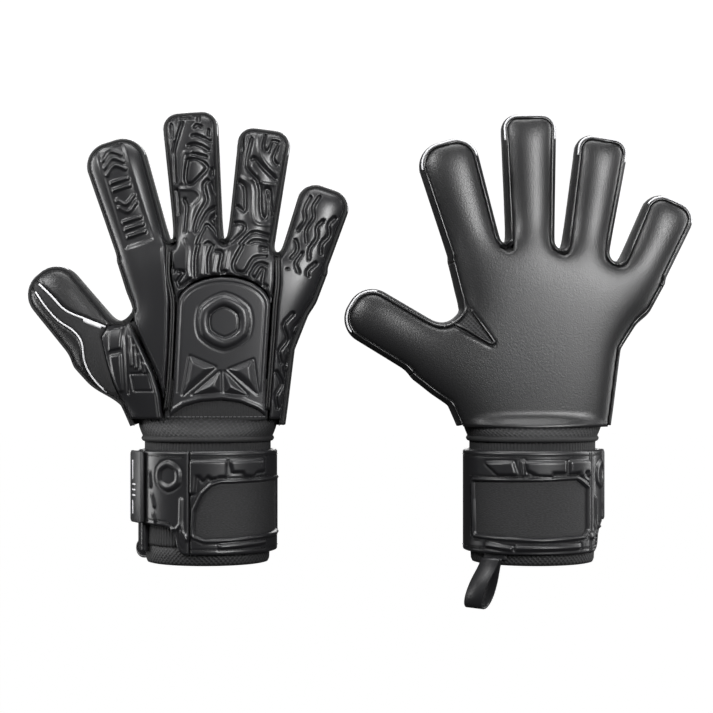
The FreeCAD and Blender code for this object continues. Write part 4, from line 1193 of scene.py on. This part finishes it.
def makeStrap(glove):
    x0 = gloves[glove]["x0"]
    end, hinge, way = (straps[glove][k] for k in ("end", "hinge", "way"))
    low, high, face = (strapSize[k] for k in ("bottom", "top", "face"))
    fold = arc(hinge)
    window = [(front(x), z) for x, z in windows[glove]]
    if way > 0:
        window += [(arc(99.8), 48.4), (arc(99.8), 19.2), (front(15), 17.0), (front(1.3), 16.6),
                   (front(-4.6), 18.8)]
        span = (fold + 0.3, arc(end + 360) - 0.3)
        window = [(max(u, fold + 3.0), z) for u, z in window]
    else:
        span = (arc(end - 360) + 0.3, fold - 0.3)
        window = [(min(u, fold - 3.0), z) for u, z in window]
    marks = [[(front(x), z) for x, z in block] for block in blocks[glove]]
    area = [(span[0], low), (span[1], low), (span[1], high), (span[0], high)]

    def bandDetail(u, z, s):
        found = np.zeros_like(u)
        for mark in marks:
            d = areaDistance(u, z, mark) - 0.7
            found = found + 1.3 * smoothStep(-d, -0.3, 1.4) - 0.5 * rib(np.abs(d - 0.5), 0.8)
        rim = areaDistance(u, z, window)
        found = found + 0.9 * rib(np.abs(rim - 1.4), 1.5) - 0.5 * rib(np.abs(rim - 3.1), 0.7)
        return found - 0.4 * rib(np.abs(z - high + 3.0), 0.7) - 0.4 * rib(np.abs(z - low - 3.0), 0.7)

    body = f"{glove}_hand"
    band = wristPad(namePiece(glove, "strapBand"), x0, area, [window], face, strapSize["thick"],
                    (span[0] - 1, span[1] + 1, low - 1, high + 1), bandDetail, "strapFoamSkin")
    done(band, "strap_foam", [f"{glove}_strap_band"], body)
    us, zs = [p[0] for p in window], [p[1] for p in window]
    middle = ((min(us) + max(us)) / 2, (min(zs) + max(zs)) / 2)
    larger = [(middle[0] + (u - middle[0]) * 1.02, middle[1] + (z - middle[1]) * 1.05) for u, z in window]
    pane = wristPad(namePiece(glove, "elasticWindow"), x0, larger, [], strapSize["windowFace"], 2.2,
                    (min(us) - 2, max(us) + 2, min(zs) - 2, max(zs) + 2),
                    flat, "elasticRib", rounding=0.3, pitch=1.2)
    done(pane, "elastic_knit", [f"{glove}_elastic_window"], body)

    # free end of the strap, measured from its fold
    width = abs(arc(end) - fold)
    shape = [(0.3, low - 0.3), (4.0, low), (6.8, 9.0), (8.4, 12.5), (9.2, 17.0), (11.4, 20.8),
             (15.5, 22.8), (width, 23.6), (width, high), (0.3, high)]
    lines = [[(4.8, 39), (5.2, 27), (4.2, 20.5), (1.5, 16)], [(5.2, 25), (7.4, 22), (10.5, 21.8)],
             [(27, 54), (26, 46)], [(25, 41), (23, 34.5)], [(24, 30), (22.5, 26)]]

    def flapDetail(u, z, s):
        w = (fold - u) * way
        x, y = w - 13.2, z - 52.3
        turn = np.arctan2(y, x)
        step = np.pi / 3
        away = 0.35 * np.hypot(x, y) * np.cos((turn + step / 2) % step - step / 2) + 0.65 * np.hypot(x, y)
        found = 1.1 * np.sqrt(np.clip(1 - ((away - 6.6) / 1.6) ** 2, 0, 1))
        found = found - 0.5 * rib(np.abs(away - 9.0), 0.7)
        found = found + 1.2 * rib(linesDistance(w, z, lines), 1.5)
        return found - 0.4 * rib(np.abs(-s - 3.0), 0.7)

    flapArea = [(fold - way * w, z) for w, z in shape]
    side = sorted((fold, fold - way * width))
    flap = wristPad(namePiece(glove, "strapFlap"), x0, flapArea, [], face, 2.6,
                    (side[0] - 1, side[1] + 1, low - 2, high + 1), flapDetail, "strapFoamSkin")
    done(flap, "strap_foam", [f"{glove}_strap_flap"], f"{glove}_strap_flap")
    hookArea = [(fold - way * w, z) for w, z in ((5, 25.5), (width - 1, 25.5), (width - 1, 64), (5, 64))]
    hook = wristPad(namePiece(glove, "hookPatch"), x0, hookArea, [], 1.1, 0.8,
                    (side[0] - 1, side[1] + 1, 24, 66), flat,
                    "hookTapeNylon", rounding=0.3, pitch=1.2)
    done(hook, "hook_tape", [f"{glove}_hook_patch"], body)

    # stitch rows
    def row(points, lift=0.1):
        p = np.array(points, float)
        return list(wrap(x0, p[:, 0], p[:, 1], face + lift))

    along = np.linspace(span[0] + 1, span[1] - 1, 90)
    rows = [row([(u, high - 3.0) for u in along]), row([(u, low + 3.0) for u in along])]
    ring = larger + larger[:1]
    dense = []
    for a, b in zip(ring[:-1], ring[1:]):
        dense += [(a[0] + (b[0] - a[0]) * t, a[1] + (b[1] - a[1]) * t) for t in np.linspace(0, 1, 8)[:-1]]
    offset = [(middle[0] + (u - middle[0]) * (1 + 2.6 / 34), middle[1] + (z - middle[1]) * (1 + 2.4 / 15))
              for u, z in dense]
    rows.append(row([p for p in offset if span[0] + 1 < p[0] < span[1] - 1]))
    piece = stitches(namePiece(glove, "strapStitches"), rows)
    done(piece, "strap_foam", (), body)
    flapRow = smoothLine([(fold - way * w, z) for w, z in (
        (2, low + 3), (4.4, low + 3.2), (6.2, 14), (7.2, 19.5), (10.5, 24.2), (15.5, 25.8),
        (width - 3, 26.6))])
    topRow = [(fold - way * w, high - 3.0) for w in np.linspace(2, width - 2, 20)]
    piece = stitches(namePiece(glove, "flapStitches"), [row(flapRow), row(topRow)])
    done(piece, "strap_foam", (), f"{glove}_strap_flap")

    # pull tab: a flat plate that leaves the flap's end straight, with plain raised dashes
    t = math.radians(end)
    at = wrap(x0, np.array([arc(end)]), np.array([0.0]), 4.5)[0]
    along = np.array([-way * 41.2 * math.cos(t), -way * 32.2 * math.sin(t), 0])
    along /= np.linalg.norm(along)
    out = np.cross((0, 0, 1), along) * (1 if way > 0 else -1)
    up = np.array([0.0, 0.0, 1.0])

    def plate(name, a0, a1, z0, z1, o0, o1, corner, material):
        outline = []
        for ca, cz, start in ((a1 - corner, z1 - corner, 0), (a0 + corner, z1 - corner, 90),
                              (a0 + corner, z0 + corner, 180), (a1 - corner, z0 + corner, 270)):
            for k in range(4):
                a = math.radians(start + 30 * k)
                outline.append((ca + corner * math.cos(a), cz + corner * math.sin(a)))
        ca, cz = (a0 + a1) / 2, (z0 + z1) / 2
        soft = min(0.5, (o1 - o0) * 0.4)
        rows = [(o0, soft), (o0 + soft, 0), (o1 - soft, 0), (o1, soft)]
        points = [at + along * (a - math.copysign(cut, a - ca))
                  + up * (z - math.copysign(cut, z - cz)) + out * o
                  for o, cut in rows for a, z in outline]
        return finishMesh(name, points, tubeFaces(len(rows), len(outline)), material)

    tab = plate(namePiece(glove, "strapTab"), -4.0, 11.0, 24.0, 66.0, 0.0, 2.5, 1.6, "mouldedTabRubber")
    done(tab, "tab_rubber", [f"{glove}_strap_tab"], f"{glove}_strap_flap")
    for k, (z0, z1, a0) in enumerate(tabDashes):
        dash = plate(namePiece(glove, f"tabDash{k + 1}"), a0, 7.4, z0, z1, 2.4, 2.7, 0.35, "whitePiping")
        done(dash, "tab_rubber", (), f"{glove}_strap_flap")


def ringShell(name, x0, rows, wall, material, detail=None, around=264):
    # rows: height, half width, half depth, squareness
    turn = np.linspace(0, 2 * math.pi, around, endpoint=False)
    loops, marks = [], []
    outer = [(z, a, b, n, 0.0) for z, a, b, n in rows]
    inner = [(z, a, b, n, wall) for z, a, b, n in rows[::-1]]
    for z, a, b, n, cut in outer + inner:
        c, s = np.cos(turn), np.sin(turn)
        grow = detail(turn, z) if detail is not None and not cut else 0
        x = (a - cut + grow) * np.sign(c) * np.abs(c) ** (2 / n)
        y = (b - cut + grow) * np.sign(s) * np.abs(s) ** (2 / n)
        loops.append(np.stack([x0 + x, y, z + 0 * x], -1))
        marks.append(np.stack([turn * 0.35, np.full(around, z * 0.01)], -1))
    count = len(loops)
    k = np.arange(around)
    faces = []
    for i in range(count):
        a, b = i * around, ((i + 1) % count) * around
        faces += np.stack([a + k, a + (k + 1) % around, b + (k + 1) % around, b + k], 1).tolist()
    return finishMesh(name, np.concatenate(loops), faces, material, np.concatenate(marks))


def makeCuff(glove):
    x0 = gloves[glove]["x0"]
    body = f"{glove}_hand"

    def knit(turn, z):
        return 0.22 * np.sin(turn * 110) + 0.25 * math.exp(-((z - 13) / 1.2) ** 2)

    levels = [(z, 37.0, 28.0, 2.0) for z in np.arange(11.0, 74.1, 1.5)]
    cuff = ringShell(namePiece(glove, "knitCuff"), x0, levels, 2.0, "ribbedCuffKnit", knit, 528)
    done(cuff, "cuff_knit", [f"{glove}_knit_cuff"], body)
    rim = [(0.9, 33.6, 24.6, 2.0), (0.1, 34.4, 25.4, 2.0), (0.4, 35.5, 26.5, 2.0), (2.2, 36.3, 27.3, 2.0),
           (6.0, 36.5, 27.5, 2.0), (12.5, 36.4, 27.4, 2.0)]
    mesh = ringShell(namePiece(glove, "cuffMeshRim"), x0, rim, 1.8, "honeycombMesh")
    done(mesh, "spacer_mesh", (), body)
    sleeve = []
    for z in np.arange(71.0, 104.1, 1.5):
        sleeve.append((z, *(float(size) for size in sleeveSize(z))))
    mesh = ringShell(namePiece(glove, "meshSleeve"), x0, sleeve, 1.6, "honeycombMesh")
    done(mesh, "spacer_mesh", [f"{glove}_mesh_sleeve"], body)
    bulge = {z: 0.8 * math.sin(math.pi * (z - 71.5) / 3) for z in np.linspace(71.5, 74.5, 5)}
    welt = [(z, 38.4 + swell, 29.2 + swell, 2.0) for z, swell in bulge.items()]
    ring = ringShell(namePiece(glove, "cuffWelt"), x0, welt, 1.6, "ribbedCuffKnit")
    done(ring, "cuff_knit", (), body)
    # ribbed knit arch under the patch
    hand = hands[glove]
    arch = [(-23.5, 84.5), (-10, 83.5), (12, 83), (30, 83.5), (36, 84.5), (37, 108), (-22, 108)]

    def archTop(x, z, s, plain=False):
        level = hand.depth(x, z) - 2.0
        return level if plain else level + roundEdge(s, 0.8) + 0.3 * np.sin(x * 4.2)

    piece = padShell(namePiece(glove, "knitArch"), lambda x, z: areaDistance(x, z, arch), archTop, 2.0,
                     (-26, 40, 80, 110), 0.6, lambda x, z, h: hand.world(x, z, -h), "ribbedCuffKnit")
    done(piece, "cuff_knit", (), body)
    line = np.linspace(-21, 34, 30)
    seam = hand.world(line, np.full(30, 86.0), -(hand.depth(line, np.full(30, 86.0)) - 1.6))
    done(stitches(namePiece(glove, "archStitches"), [list(seam)], "paleThread"), "cuff_knit", (), body)


loopTape = dict(width=12.5, thick=1.6)


def makeLoop(glove):
    x0 = gloves[glove]["x0"]
    joint = joints[f"{glove}_pull_loop_swing"]
    at = np.array(joint["pos_m"]) / mm
    facing = math.radians(40 if glove == "right" else -220)
    tilt = math.radians(80 if glove == "right" else 0)
    path = smoothLine([(1.0, 0.6), (0.2, -5), (-1.6, -13), (-2.0, -21), (-0.2, -26.6), (3.2, -28.4),
                       (6.8, -26.8), (8.6, -21), (7.6, -13), (4.4, -5), (3.0, 0.6)], 5)
    slant = -0.36 if glove == "left" else 0.0
    spine = []
    c, s = math.cos(facing), math.sin(facing)
    wide = np.array([c, s, 0.0])
    for k, (y, z) in enumerate(path):
        ny, nz = path[min(k + 1, len(path) - 1)] - path[max(k - 1, 0)]
        ny, nz = -nz, ny
        y2, z2 = y * math.cos(tilt) - z * math.sin(tilt), y * math.sin(tilt) + z * math.cos(tilt)
        n2, m2 = ny * math.cos(tilt) - nz * math.sin(tilt), ny * math.sin(tilt) + nz * math.cos(tilt)
        normal = np.array([-s * n2, c * n2, m2])
        normal /= np.linalg.norm(normal)
        point = at + np.array([-s * y2, c * y2, z2]) + wide * slant * z
        spine.append((point, wide, normal))
    w, h = loopTape["width"] / 2, loopTape["thick"] / 2
    outline = [(-w, -h * 0.5), (-w + 0.4, -h), (w - 0.4, -h), (w, -h * 0.5), (w, h * 0.5), (w - 0.4, h),
               (-w + 0.4, h), (-w, h * 0.5)]
    loop = sweep(namePiece(glove, "pullLoop"), spine, outline, "loopLeather")
    done(loop, "loop_tape", [f"{glove}_pull_loop"], f"{glove}_pull_loop")
    turn = -40 if glove == "left" else 220
    u = arc(turn)
    area = [(u - 8, 3.4), (u + 8, 3.4), (u + 8, 8.4), (u - 8, 8.4)]
    patch = wristPad(namePiece(glove, "loopAnchor"), x0, area, [], 1.0, 1.2, (u - 9, u + 9, 2, 10),
                     flat, "loopLeather", rounding=0.5, pitch=0.7)
    done(patch, "loop_tape", (), f"{glove}_hand")


for glove in gloves:
    makeCuff(glove)
    makeStrap(glove)
    makeLoop(glove)
    print(glove, "wrist made")


# camera, floor and light
view = dict(x=0.088, y=-0.95, z=0.121, lens=81.0, floorDrop=0.062)
lights = [  # name, place, width, height, power
    ("frontSoftbox", (0.58, -1.15, 0.5), 0.3, 0.5, 21.0),
    ("keyLight", (-0.85, -0.75, 0.95), 0.35, 0.45, 15.0),
    ("rightRim", (1.0, 0.05, 0.35), 0.3, 0.9, 9.0),
    ("leftRim", (-0.9, 0.05, 0.25), 0.3, 0.9, 9.0),
    ("topLight", (0.1, -0.1, 1.1), 0.9, 0.3, 8.0),
    ("backLight", (0.1, 1.2, 0.7), 0.8, 0.8, 12.0)]


def makeStage():
    camera = bpy.data.objects.new("camera", bpy.data.cameras.new("camera"))
    bpy.context.scene.collection.objects.link(camera)
    camera.location = (view["x"], view["y"], view["z"])
    camera.rotation_euler = (math.radians(90), 0, 0)
    camera.data.lens = view["lens"]
    camera.data.sensor_width = 36.0
    bpy.context.scene.camera = camera
    drop = -view["floorDrop"]
    profile = [(0.0, drop), (3.0, drop)]
    profile += [(3.0 + math.sin(a), drop + 1 - math.cos(a)) for a in np.linspace(0.2, 1.57, 8)]
    profile += [(4.0, 5.0)]
    around = 48
    points = [(r * math.cos(2 * math.pi * k / around), r * math.sin(2 * math.pi * k / around), z)
              for r, z in profile[1:] for k in range(around)]
    faces = [[i * around + k, i * around + (k + 1) % around, (i + 1) * around + (k + 1) % around,
              (i + 1) * around + k] for i in range(len(profile) - 2) for k in range(around)]
    faces.append(list(range(around)))
    mesh = bpy.data.meshes.new("paleFloor")
    mesh.from_pydata(points, [], faces)
    mesh.shade_smooth()
    floor = bpy.data.objects.new("paleFloor", mesh)
    bpy.context.scene.collection.objects.link(floor)
    paint = bpy.data.materials.new("paleStudioPaint")
    paint.use_nodes = True
    shader = paint.node_tree.nodes["Principled BSDF"]
    shader.inputs["Base Color"].default_value = hexColour("808080")
    shader.inputs["Roughness"].default_value = 0.9
    shader.inputs["Emission Color"].default_value = hexColour("ffffff")
    shader.inputs["Emission Strength"].default_value = 1.0
    mesh.materials.append(paint)
    floor.visible_diffuse = floor.visible_glossy = False  # pale to look at, but lights nothing
    world = bpy.data.worlds.new("studio")
    world.use_nodes = True
    world.node_tree.nodes["Background"].inputs["Color"].default_value = (1, 1, 1, 1)
    world.node_tree.nodes["Background"].inputs["Strength"].default_value = 0.05
    bpy.context.scene.world = world
    bpy.context.scene.view_settings.view_transform = "Standard"
    for name, place, wide, tall, power in lights:
        lamp = bpy.data.lights.new(name, "AREA")
        lamp.shape, lamp.size, lamp.size_y, lamp.energy = "RECTANGLE", wide, tall, power
        holder = bpy.data.objects.new(name, lamp)
        holder.location = place
        aim = Vector((0.096, 0, 0.13)) - Vector(place)
        holder.rotation_euler = aim.to_track_quat("-Z", "Y").to_euler()
        bpy.context.scene.collection.objects.link(holder)


makeStage()
print("pieces made:", len(made))
